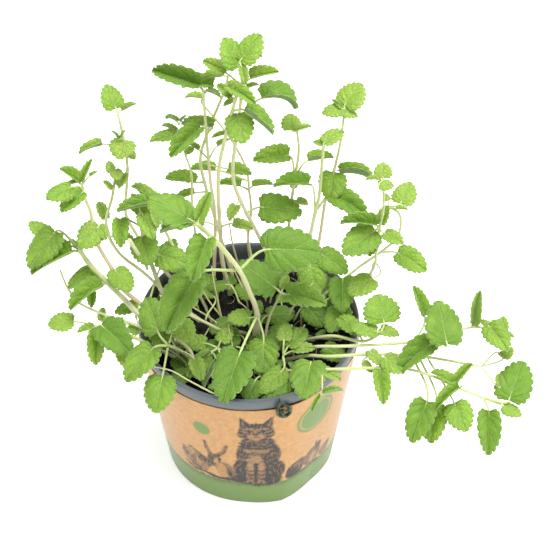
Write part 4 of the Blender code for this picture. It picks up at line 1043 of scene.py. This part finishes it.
def blade_surface(name, deep, mid, young, sheen, rough, lit_part, puckered):
    """A thin downy leaf skin: green by its age, with pale veins, a pale edge that is partly the downy margin
    and partly a painted highlight, and light coming through.
    """
    made, tree = new_surface(name)
    place = node(tree, "TexCoord").outputs["Object"]
    flat = node(tree, "Attribute", attribute_name="flat").outputs["Vector"]
    age = node(tree, "Attribute", attribute_name="age").outputs["Fac"]
    spot = node(tree, "UVMap", uv_map="UVMap").outputs["UV"]
    split = node(tree, "SeparateXYZ", {"Vector": spot})
    across = node(tree, "SeparateXYZ", {"Vector": flat}).outputs["X"]
    # Sunken net: cells about 2 mm across between the finest veins.
    net = node(tree, "TexVoronoi", {"Vector": flat, "Scale": 0.46, "Randomness": 0.9},
               feature="DISTANCE_TO_EDGE")
    cell = ramp(tree, net.outputs["Distance"], (0.0, 0.32), smooth=True)
    # Side veins: the lines that the rows of the blade follow.
    spread = maths(tree, "POWER", split.outputs["Y"], 0.85)
    phase = maths(tree, "MULTIPLY", spread, math.pi * VEIN_PAIRS)
    wave = maths(tree, "SINE", phase)
    off_vein = maths(tree, "ABSOLUTE", wave)
    side_vein = ramp(tree, off_vein, (0.0, 0.17), (1.0, 0.0), smooth=True)
    off_rib = maths(tree, "ABSOLUTE", across)
    rib = ramp(tree, off_rib, (0.1, 0.55), (1.0, 0.0), smooth=True)
    vein = maths(tree, "MAXIMUM", side_vein, rib)
    # Colour: older blades are deeper, and each is a little cloudy.
    cloud = spots(tree, place, 130.0, 4.0)
    shift = ramp(tree, cloud, (0.3, 0.7), (-0.22, 0.22))
    aged = maths(tree, "ADD", age, shift, clamp=True)
    grown = ramp(tree, aged, (0.0, 0.5))
    old = ramp(tree, aged, (0.5, 1.0))
    fresh = mix(tree, grown, linear(young), linear(mid))
    green = mix(tree, old, fresh, linear(deep))
    # Painted shade: the grooves of the sunken net are painted darker, towards the deep green.
    groove_shade = ramp(tree, cell, (0.0, 1.0), (0.45, 0.0))
    groove_shaded = mix(tree, groove_shade, green, linear(deep))
    half = maths(tree, "MULTIPLY", vein, 0.5)
    veined = mix(tree, half, groove_shaded, linear(LEAF_VEIN))
    middle = maths(tree, "SUBTRACT", split.outputs["X"], 0.5)
    out = maths(tree, "ABSOLUTE", middle)
    # The edge is painted pale: partly the downy margin, partly a painted highlight along it.
    edge_and_highlight = ramp(tree, out, (0.465, 0.495), (0.0, 0.7))
    edged_and_highlighted = mix(tree, edge_and_highlight, veined, linear(LEAF_EDGE_AND_HIGHLIGHT))
    soft = maths(tree, "MULTIPLY", cell, 0.7)
    sunk = maths(tree, "SUBTRACT", soft, vein)
    fuzz = spots(tree, place, 2600.0, 1.0)
    height = maths(tree, "MULTIPLY_ADD", fuzz, 0.25, sunk)
    relief = bump(tree, height, puckered, 0.0004)
    glow = mix(tree, 0.55, edged_and_highlighted, linear(LEAF_LIT))
    thin_skin(tree, {
        "Base Color": edged_and_highlighted, "Roughness": rough, "Normal": relief, "IOR": 1.42,
        "Sheen Weight": sheen, "Sheen Roughness": 0.45, "Sheen Tint": linear("dfeee0"),
    }, lit_part, {"Color": glow, "Normal": relief})
    return made


leaf_upper = blade_surface("downy_leaf_upper_skin", LEAF_DEEP, LEAF_MID, LEAF_YOUNG, 0.3, 0.46, 0.42, 0.72)
leaf_under = blade_surface("downy_leaf_underside", "7f9663", LEAF_UNDER, "a9bb83", 0.3, 0.75, 0.45, 0.5)

# Leaf stalk: the same downy skin as the stem, thinner and yellower.
leaf_stalk, tree = new_surface("downy_leaf_stalk")
place = node(tree, "TexCoord").outputs["Object"]
patches = spots(tree, place, 140.0, 2.0)
skin = mix(tree, patches, linear("9fb55f"), linear("c4cf8e"))
principled(tree, {
    "Base Color": skin, "Roughness": 0.5, "IOR": 1.42, "Sheen Weight": 0.3, "Sheen Roughness": 0.5,
})


def stem_direction(path, place):
    """Which way a stem runs at a place on its path."""
    spans = len(path) - 1
    return (along(path, min(place + 0.02, spans)) - along(path, max(place - 0.02, 0))).normalized()


def set_leaf(start, out, base, blade_turn, shape, chance, age=None):
    """One leaf in its place: a blade bent, folded and twisted from its model, and a stalk that carries it.

    The shape is the blade's length, its rise, its roll, its width as a part of its length, and its bend.
    """
    blade, rise, roll, width, bend = shape
    first, curl = math.radians(rise + bend / 2), math.radians(bend)
    forward = heading(blade_turn, 0)
    level = Vector((-forward.y, forward.x, 0))
    twist = chance.uniform(-LEAF_TWIST, LEAF_TWIST)
    # A blade written narrow is a broader one folded up along its midrib.
    closed = math.acos(min(1.0, width / max(width, BROAD_BLADE)))
    width /= math.cos(closed)
    fold = chance.uniform(*LEAF_FOLD)
    droop = chance.uniform(*LEAF_DROOP)
    ripple = chance.uniform(*LEAF_RIPPLE)
    beat, phase = chance.uniform(*LEAF_BEAT), chance.uniform(0, math.tau)

    def rib_point(v):
        slope = first - curl * v
        run = forward * (math.sin(first) - math.sin(slope))
        return base + (run + Vector((0, 0, math.cos(slope) - math.cos(first)))) * blade / curl

    def frame_at(v):
        slope = first - curl * v
        ahead = forward * math.cos(slope) + Vector((0, 0, math.sin(slope)))
        up = ahead.cross(level)
        tilt = math.radians(roll + twist * (v - 0.3))
        return level * math.cos(tilt) + up * math.sin(tilt), up * math.cos(tilt) - level * math.sin(tilt)

    model = blade_models["large" if blade >= LARGE_BLADE else "small"]
    made = model.copy()
    made.data = model.data.copy()
    bpy.context.scene.collection.objects.link(made)
    flat = made.data.attributes.new("flat", "FLOAT_VECTOR", "POINT")
    seed = chance.uniform(0, 90)
    for i, vertex in enumerate(made.data.vertices):
        x, v, lift = vertex.co
        side, normal = frame_at(v)
        reach = x * width * blade
        flat.data[i].vector = (reach, v * blade, seed)
        lift = lift * blade + fold * abs(reach) * (1 - droop * 2 * abs(x)) + abs(reach) * math.sin(closed)
        reach *= math.cos(closed)
        lift += ripple * blade * math.sin(beat * v + phase + x) * (2 * x) ** 2
        vertex.co = (rib_point(v) - side * reach + normal * lift) * MM
    if age is None:
        young, old = LEAF_GROWTH
        age = clamped((blade - young) / (old - young)) + chance.uniform(-0.2, 0.2)
    paint_point(made, "age", lambda _: age)

    thickness = STALK_THICK[0] + STALK_THICK[1] * blade
    ahead = forward * math.cos(first) + Vector((0, 0, math.sin(first)))
    bow = min((base - start).length, STALK_BOW[0]) * STALK_BOW[1]
    a, b = start + out * bow, base - ahead * bow
    centres, widths = [], []
    for i in range(STALK_RINGS):
        t = i / (STALK_RINGS - 1)
        s = 1 - t
        centres.append(start * s ** 3 + a * 3 * t * s ** 2 + b * 3 * t * t * s + base * t ** 3)
        widths.append(thickness * (1.3 - 0.35 * t))
    for i in range(1, MIDRIB_RINGS + 1):
        v = i / (MIDRIB_RINGS + 3)
        side, normal = frame_at(v)
        girth = thickness * (0.9 - v)
        centres.append(rib_point(v) - normal * (BLADE_THICK * 0.4 + girth * 0.3))
        widths.append(girth)
    widths[0] = widths[-1] = 0.0
    carrier = tube("stalk", centres, widths, STALK_SIDES, Vector((0, 0, 1)).cross(out) + Vector((0, 0, 0.01)))
    carrier.data.materials.append(leaf_stalk)
    return made, carrier


def leaf_on_stem(path, root_width, tip_width, leaf, chance):
    """A leaf of a stem's list: its stalk starts inside the stem."""
    at, turn, stalk, stalk_rise, blade, rise, roll, width, bend = leaf[:9]
    spans = len(path) - 1
    place = min(at, spans)
    out = heading(turn, stalk_rise)
    if blade >= OWN_LEAF:
        away = max(0.35, out.cross(stem_direction(path, place)).length)
        corner = (root_width + (tip_width - root_width) * place / spans) / 2 * math.sqrt(2)
        stalk = max(stalk, (corner + 0.8) / away + LEAST_STALK)
    start = along(path, place)
    blade_turn = leaf[9] if len(leaf) > 9 else turn
    return set_leaf(start, out, start + out * stalk, blade_turn, (blade, rise, roll, width, bend), chance)


def bind_leaf_piece(name, leaves):
    """Joins blades and stalks into one piece, and gives the blades their thickness and their two skins."""
    blades = joined(*(blade for blade, _ in leaves))
    blades.data.materials.append(leaf_upper)
    blades.data.materials.append(leaf_under)
    finish_mesh(blades, outward=False)
    skin = blades.modifiers.new("thickness", "SOLIDIFY")
    skin.thickness = BLADE_THICK * MM
    skin.offset = -1.0
    skin.material_offset = 1
    skin.material_offset_rim = 1
    bpy.ops.object.modifier_apply(modifier=skin.name)
    stalks = joined(*(stalk for _, stalk in leaves))
    finish_mesh(stalks)
    piece = joined(blades, stalks)
    piece.name = name
    return piece


leaf_number = 0
for number, (key, (_, root_width, tip_width, leaves)) in enumerate(PLANT.items(), 1):
    chance = random.Random(number * 17)
    small = []
    for leaf in leaves:
        made = leaf_on_stem(plant_paths[key], root_width, tip_width, leaf, chance)
        if leaf[4] >= OWN_LEAF:
            leaf_number += 1
            piece = bind_leaf_piece(f"leaf_{leaf_number:02d}_blade", [made])
            keep(piece, "leaf", f"leaf_{leaf_number:02d}")
        else:
            small.append(made)
    if small:
        piece = bind_leaf_piece(f"stem_{number:02d}_leaves", small)
        keep(piece, "leaf", f"stem_{number:02d}")

# ---------------------------------------------------------------------------------------------
# Low growth. Under the tall stems the pot is full of thin weak shoots and shaded leaves on long
# stalks, with tiny seedlings between them, all rooted in the peat. A few small leaves and side shoots
# that grow from the stems higher up are here too.
# ---------------------------------------------------------------------------------------------
# Thin shoots: (width, then the points of the path).
THIN_SHOOTS = (
    (2.0, (4, -2, 92), (-4, -3, 99), (-16, -7, 105), (-24, -9, 113), (-38, -7, 121), (-52, -3, 131)),
    (1.1, (-10, 0, 92), (-14, 1, 97), (-24, 4, 105), (-34, 6, 112), (-46, 9, 121)),
    (1.1, (-13, 7, 92), (-15, 8, 98), (-20, 10, 105), (-25, 13, 112), (-34, 19, 128)),
    (1.0, (-15, 6, 92), (-16, 7, 98), (-18, 11, 108), (-20, 15, 118), (-22, 20, 132)),
    (0.9, (-19, 4, 92), (-23, 2, 98), (-27, -6, 98), (-33, -14, 101)),
    (1.0, (-11, -23, 92), (-11, -22, 98), (-9.5, -19, 103), (-11, -13, 108), (-12, -8, 112)),
    (2.2, (-23, -38, 91), (-25, -37, 95), (-30, -35, 103), (-33, -30, 111), (-38, -26, 115),
     (-43, -24, 118)),
    (1.0, (-8, -52, 93), (-20, -59, 108.7), (-34, -50, 109.3), (-44, -43, 109.6), (-57, -40, 111),
     (-64, -38, 114)),
    (1.0, (17, 47, 92), (18, 47, 97), (21, 46, 104), (23.5, 44, 107.5), (25.5, 46, 102), (27, 47, 97)),
    (1.2, (27, -18, 92), (26, -15, 96), (29, -10, 100), (31, -6, 104), (33, -4, 107)),
    (1.0, (31, 8, 92), (31, 9, 97), (31, 12, 103), (31, 14, 109), (32, 17, 118)),
    (1.5, (28, -4, 92), (34, -6, 97), (42, -7, 98.5), (51, -8, 98), (55, -9, 99)),
    (1.3, (24, 22, 92), (29, 20, 99), (36, 15, 105), (44, 12, 110), (53, 12, 118)),
    (1.2, (10, 28, 92), (8, 30, 104), (3, 33, 118), (0, 36, 134), (-2, 38, 150)),
    (1.2, (-4, 36, 92), (-6, 40, 108), (-10, 44, 126), (-12, 47, 142)),
    (1.3, (-22, 10, 92), (-27, 14, 106), (-33, 19, 120), (-38, 24, 136)),
    (1.1, (20, 4, 92), (24, 8, 103), (30, 11, 115), (38, 14, 124)),
    (1.0, (0, 20, 92), (-3, 24, 104), (-8, 29, 116), (-15, 33, 130)),
    (1.1, (71, 10, 128), (73, 19, 135), (76, 17, 134), (77, 13, 133), (75, 11, 132), (71, 9, 132)),
    (2.2, (-69, 15, 159), (-65, 14, 150), (-61, 15, 140), (-59, 16, 132)),
    (1.1, (36, -30, 92), (41, -37, 104), (42, -46, 110.5), (42, -57, 112.5), (42, -63, 112)),
    (0.9, (0, 5, 94), (0, 6, 100), (-1, 9, 106), (-7, 11, 112)),
)
# Shaded leaves: (root of the stalk, base of the blade, turn, age, then length, rise, roll, width, bend).
# Most of their ages are set near or above old, so they take the deepest green: partly older leaves, partly
# painted shade.
LOW_LEAVES = (
    ((-28, -12, 93), (-41, -23, 99), 302, 1.1, 16, -7, 0, 0.9, 15),
    ((-17, -34, 96), (-22, -28, 108), 215, 0.3, 13, -10, 20, 0.45, 10),
    ((-3, -18, 100), (-13, -16, 101), 182, 1.0, 17, -11, 0, 0.95, 15),
    ((0, -14, 94), (-6, -10, 104), 189, 0.8, 15, -14, -10, 1.0, 20),
    ((-10, -30, 94), (-18, -33, 106), 244, 0.9, 18, -20, 55, 0.6, 25),
    ((4, -8, 94), (11, 6, 104), 13, 1.1, 17, -7, 10, 0.85, 15),
    ((26, 10, 94), (34, 12, 105), 314, 1.1, 16, -24, 10, 0.85, 20),
    ((20, 4, 94), (25, -1, 102), 231, 0.8, 20, -12, 0, 1.0, 20),
    ((20, -26, 94), (23, -41, 101), 216, 1.1, 20, -12, 10, 0.95, 20),
    ((6, 12, 94), (2, 18, 108), 130, 0.7, 15, -4, 0, 0.85, 20),
    ((-18, 18, 94), (-22, 24, 112), 160, 0.9, 18, -6, -10, 0.85, 20),
    ((-30, 20, 94), (-38, 24, 108), 200, 1.0, 18, -10, -10, 0.9, 20),
    ((30, 26, 94), (40, 28, 106), 20, 1.0, 18, -12, 10, 0.85, 20),
    ((36, -14, 94), (44, -20, 104), 330, 0.9, 15, -10, 10, 0.9, 20),
    ((8, -34, 94), (4, -42, 100), 250, 1.0, 15, -10, 0, 0.95, 20),
    ((-34, -22, 94), (-47, -16, 106), 170, 0.9, 17, -8, -10, 0.9, 20),
    ((-8, 6, 94), (-12, 4, 102), 215, 1.1, 14, -14, 0, 0.9, 20),
    ((12, 24, 94), (16, 30, 112), 60, 0.8, 14, 4, 0, 0.8, 20),
    ((-53, -14, 100), (-36, -35, 101), 234, 1.1, 15, -4, 0, 0.8, 15),
    ((-84, 8, 130), (-91, 3, 128), 267, 0.8, 10, -37, 0, 0.6, 15),
    ((-72, 49, 204), (-74, 48, 206), 143, 0.2, 6, 28, 0, 0.25, 50),
    ((-72, 49, 204), (-72, 48, 207), 31, 0.2, 5, 55, 0, 0.25, 30),
    ((-40, 64, 202), (-41, 65, 204), 145, 0.3, 9, -13, 0, 0.22, 70),
    ((-40, 64, 202), (-39, 63, 206), 37, 0.3, 5, 22, 0, 0.25, 40),
    ((18, 27, 96), (11, 10, 98), 195, 1.2, 9, -6, 0, 0.9, 15),
    ((30, 27, 96), (41, 24, 99), 296, 1.3, 17, -10, 0, 0.9, 15),
    ((42, -62, 112), (43, -63, 112), 11, 0.6, 11, 5, 0, 0.3, 20),
    ((42, -62, 112), (41, -64, 111.5), 236, 0.4, 10, -31, 0, 0.3, 30),
    ((-60, 2, 112), (-51, 27, 128), 58, 1.0, 16, 29, 0, 0.8, 15),
    ((-66, -4, 112), (-66, 5, 114), 195, 0.7, 14, -12, 0, 0.8, 15),
    ((-66, -1, 110), (-64, -12, 108), 135, 0.6, 9, 13, 0, 0.9, 15),
    ((-25, -1, 106), (-21, 16, 110), 155, 0.9, 7, 15, 0, 0.8, 15),
    ((-5, 13, 106), (-13, 20, 116), 173, 1.2, 13, -18, 0, 0.8, 15),
    ((11, 20, 148), (11, 18, 150), 96, 1.3, 9, 58, 0, 1.0, 10),
)
SEEDLINGS = 16
SEEDLING_REACH = 53.0
SHOOT_SIDES = 10
SHOOT_STEPS = 8
SHOOT_SQUARENESS = 0.4
LOW_STALK_RISE = 60

for number, (width, *points) in enumerate(THIN_SHOOTS, 1):
    path = [Vector(point) for point in points]
    centres = [along(path, i / SHOOT_STEPS) for i in range(SHOOT_STEPS * (len(path) - 1) + 1)]
    widths = [0.0] + [width * (1.1 - 0.35 * i / len(centres)) for i in range(1, len(centres) - 1)] + [0.0]
    corner = Vector((0.3, 1, 0.1))
    shoot = tube(f"thin_shoot_{number:02d}", centres, widths, SHOOT_SIDES, corner, SHOOT_SQUARENESS)
    paint_point(shoot, "low", lambda at: 0.25 + 0.5 * noise.noise(at * 60 + Vector((number, 0, 0))))
    paint_point(shoot, "flush", lambda at: 0.35 if number % 3 else 0.9)
    finish_mesh(shoot)
    shoot.data.materials.append(catnip_stem)
    keep(shoot, "stem")

chance = random.Random(404)
for number, (root, base, turn, age, *shape) in enumerate(LOW_LEAVES, 1):
    made = set_leaf(Vector(root), heading(turn, LOW_STALK_RISE), Vector(base), turn, shape, chance, age)
    piece = bind_leaf_piece(f"low_leaf_{number:02d}", [made])
    keep(piece, "leaf")

seedlings = []
for _ in range(SEEDLINGS):
    around, out = chance.uniform(0, 360), SEEDLING_REACH * math.sqrt(chance.random())
    foot = heading(around, 0) * out
    foot.z = soil_height(foot.x, foot.y) - 1
    lean = heading(chance.uniform(0, 360), 60)
    top = foot + lean * chance.uniform(4, 9)
    spin = chance.uniform(0, 360)
    size = chance.uniform(5, 10)
    for k in range(2):
        turn = spin + 180 * k
        shape = (size, chance.uniform(0, 30), 0, chance.uniform(0.75, 1), 15)
        base = top + heading(turn, 20) * 1.5
        seedlings.append(set_leaf(foot, lean, base, turn, shape, chance, chance.uniform(0.5, 1.1)))
piece = bind_leaf_piece("seedlings", seedlings)
keep(piece, "leaf")
for model in blade_models.values():
    bpy.data.objects.remove(model, do_unlink=True)

# ---------------------------------------------------------------------------------------------
# Dry roots and stalks. Fine threads of straw brown that lie loose on the peat, where old shoots and
# surface roots have died. Each wanders in short steps.
# ---------------------------------------------------------------------------------------------
ROOTS = 44
ROOT_REACH = 54.0
ROOT_STEPS = 5
ROOT_SIDES = 6
RINGS_PER_STEP = 4

# Dry thread: straw brown with paler stretches, dull.
dry_root, tree = new_surface("dry_root")
place = node(tree, "TexCoord").outputs["Object"]
stretches = spots(tree, place, 160.0, 3.0)
straw = mix(tree, stretches, linear("5e5138"), linear("c9bd98"))
principled(tree, {"Base Color": straw, "Roughness": 0.75, "IOR": 1.4})
chance = random.Random(77)
threads = []
for number in range(ROOTS):
    at = heading(chance.uniform(0, 360), 0) * ROOT_REACH * math.sqrt(chance.random())
    turn, step = chance.uniform(0, 360), chance.uniform(2.5, 7)
    path = []
    while len(path) <= ROOT_STEPS and at.length < ROOT_REACH + 1:
        path.append(Vector((at.x, at.y, soil_height(at.x, at.y) + chance.uniform(0.3, 1.2))))
        turn += chance.uniform(-40, 40)
        at = Vector((at.x, at.y, 0)) + heading(turn, 0) * step
    if len(path) < 3:
        continue
    centres = [along(path, i / RINGS_PER_STEP) for i in range(RINGS_PER_STEP * (len(path) - 1) + 1)]
    width = chance.uniform(0.45, 0.95)
    widths = [0.0] + [width * (1 - 0.5 * i / len(centres)) for i in range(1, len(centres) - 1)] + [0.0]
    thread = tube(f"root_{number:02d}", centres, widths, ROOT_SIDES, Vector((0.2, 0.1, 1)))
    finish_mesh(thread)
    threads.append(thread)
threads = joined(*threads)
threads.name = "roots_on_peat"
threads.data.materials.clear()
threads.data.materials.append(dry_root)
keep(threads, "stem")

# ---------------------------------------------------------------------------------------------
# Withered leaf. A dead leaf on its thread of a stalk, which hangs over the front of the rim against
# the sleeve. It has shrivelled to a strip, curled round into a loop, with a scrap of blade inside.
# ---------------------------------------------------------------------------------------------
# Each part is its path and its width at each point of the path.
CURLS = {
    "curl_loop": (
        ((17.4, -60.5, 109.0), (18.0, -63.4, 108.5), (17.4, -64.7, 103.6), (16.6, -64.8, 99.6),
         (18.2, -64.5, 96.0), (21.2, -63.6, 94.1), (23.8, -62.7, 95.9), (23.6, -62.8, 100.0),
         (21.4, -63.6, 102.8), (19.4, -65.2, 102.6)),
        (0.0, 0.9, 1.9, 1.9, 3.0, 2.2, 2.0, 3.0, 1.6, 0.0),
    ),
    "curl_scrap": (((17.6, -65.0, 99.6), (19.8, -65.0, 99.2), (22.6, -64.0, 99.4)), (0.0, 4.4, 0.0)),
}
CURL_SIDES = 10
CURL_STEPS = 6

# Withered skin: nearly black green, with duller green patches where it is driest.
withered, tree = new_surface("withered_leaf")
place = node(tree, "TexCoord").outputs["Object"]
blotch = spots(tree, place, 420.0, 3.0)
parched = ramp(tree, blotch, (0.4, 0.62))
shrunk = mix(tree, parched, linear("1b1d15"), linear("56603a"))
relief = bump(tree, blotch, 0.6, 0.0005)
principled(tree, {"Base Color": shrunk, "Roughness": 0.6, "Normal": relief, "IOR": 1.4})
curls = []
for name, (points, wide) in CURLS.items():
    path = [Vector(point) for point in points]
    steps = [i / CURL_STEPS for i in range(CURL_STEPS * (len(path) - 1) + 1)]
    widths = [wide[int(s)] + (wide[min(int(s) + 1, len(path) - 1)] - wide[int(s)]) * (s % 1) for s in steps]
    curl = tube(name, [along(path, s) for s in steps], widths, CURL_SIDES, Vector((0, -1, 0.4)))
    finish_mesh(curl)
    curls.append(curl)
curl = joined(*curls)
curl.name = "withered_leaf"
curl.data.materials.clear()
curl.data.materials.append(withered)
keep(curl, "leaf")

# ---------------------------------------------------------------------------------------------
# Stage. A plain white floor in soft white light, with a wide lamp overhead and one at each side.
# ---------------------------------------------------------------------------------------------
WHITE = (1.0, 1.0, 1.0, 1.0)
SURROUND_STRENGTH = 0.4
FLOOR_SIZE = 8.0
FLOOR_DROP = 0.0004
# Lamps, in metres and watts: where each stands, and its power.
LAMPS = {
    "lamp_overhead": ((0.05, 0.0, 1.5), 26.5),
    "lamp_right": ((1.3, -0.45, 0.75), 15.0),
    "lamp_left": ((-1.2, -0.7, 0.8), 6.0),
}
LAMP_SIZE = 0.8
LAMP_AIM = (0, 0, 0.12)
CAMERA_AIM = (15.3, 0, 144)
CAMERA_RISE = 45
CAMERA_DISTANCE = 1.1
CAMERA_LENS = 125.28

scene = bpy.context.scene
scene.view_settings.view_transform = "Standard"
scene.world = bpy.data.worlds.new("white_surround")
scene.world.use_nodes = True
surround = scene.world.node_tree.nodes["Background"]
surround.inputs["Color"].default_value = WHITE
surround.inputs["Strength"].default_value = SURROUND_STRENGTH

clear_selection()
bpy.ops.mesh.primitive_plane_add(size=FLOOR_SIZE, location=(0, 0, -FLOOR_DROP))
floor = bpy.context.object
floor.name = "floor"
floor_white, tree = new_surface("white_paper")
principled(tree, {
    "Base Color": (0.93, 0.93, 0.93, 1), "Roughness": 0.8, "Emission Color": WHITE, "Emission Strength": 0.5,
})
floor.data.materials.append(floor_white)
floor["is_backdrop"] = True

for name, (place, power) in LAMPS.items():
    softbox = bpy.data.lights.new(name, "AREA")
    softbox.shape = "SQUARE"
    softbox.size = LAMP_SIZE
    softbox.energy = power
    lamp = bpy.data.objects.new(name, softbox)
    lamp.location = place
    lamp.rotation_euler = (Vector(LAMP_AIM) - Vector(place)).to_track_quat("-Z", "Y").to_euler()
    scene.collection.objects.link(lamp)

lens = bpy.data.cameras.new("camera")
lens.sensor_width = 36.0
lens.lens = CAMERA_LENS
lens.clip_start = 0.05
camera = bpy.data.objects.new("camera", lens)
back = heading(-90, CAMERA_RISE)
camera.location = Vector(CAMERA_AIM) * MM + back * CAMERA_DISTANCE
camera.rotation_euler = (-back).to_track_quat("-Z", "Y").to_euler()
scene.collection.objects.link(camera)
scene.camera = camera

low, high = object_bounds()
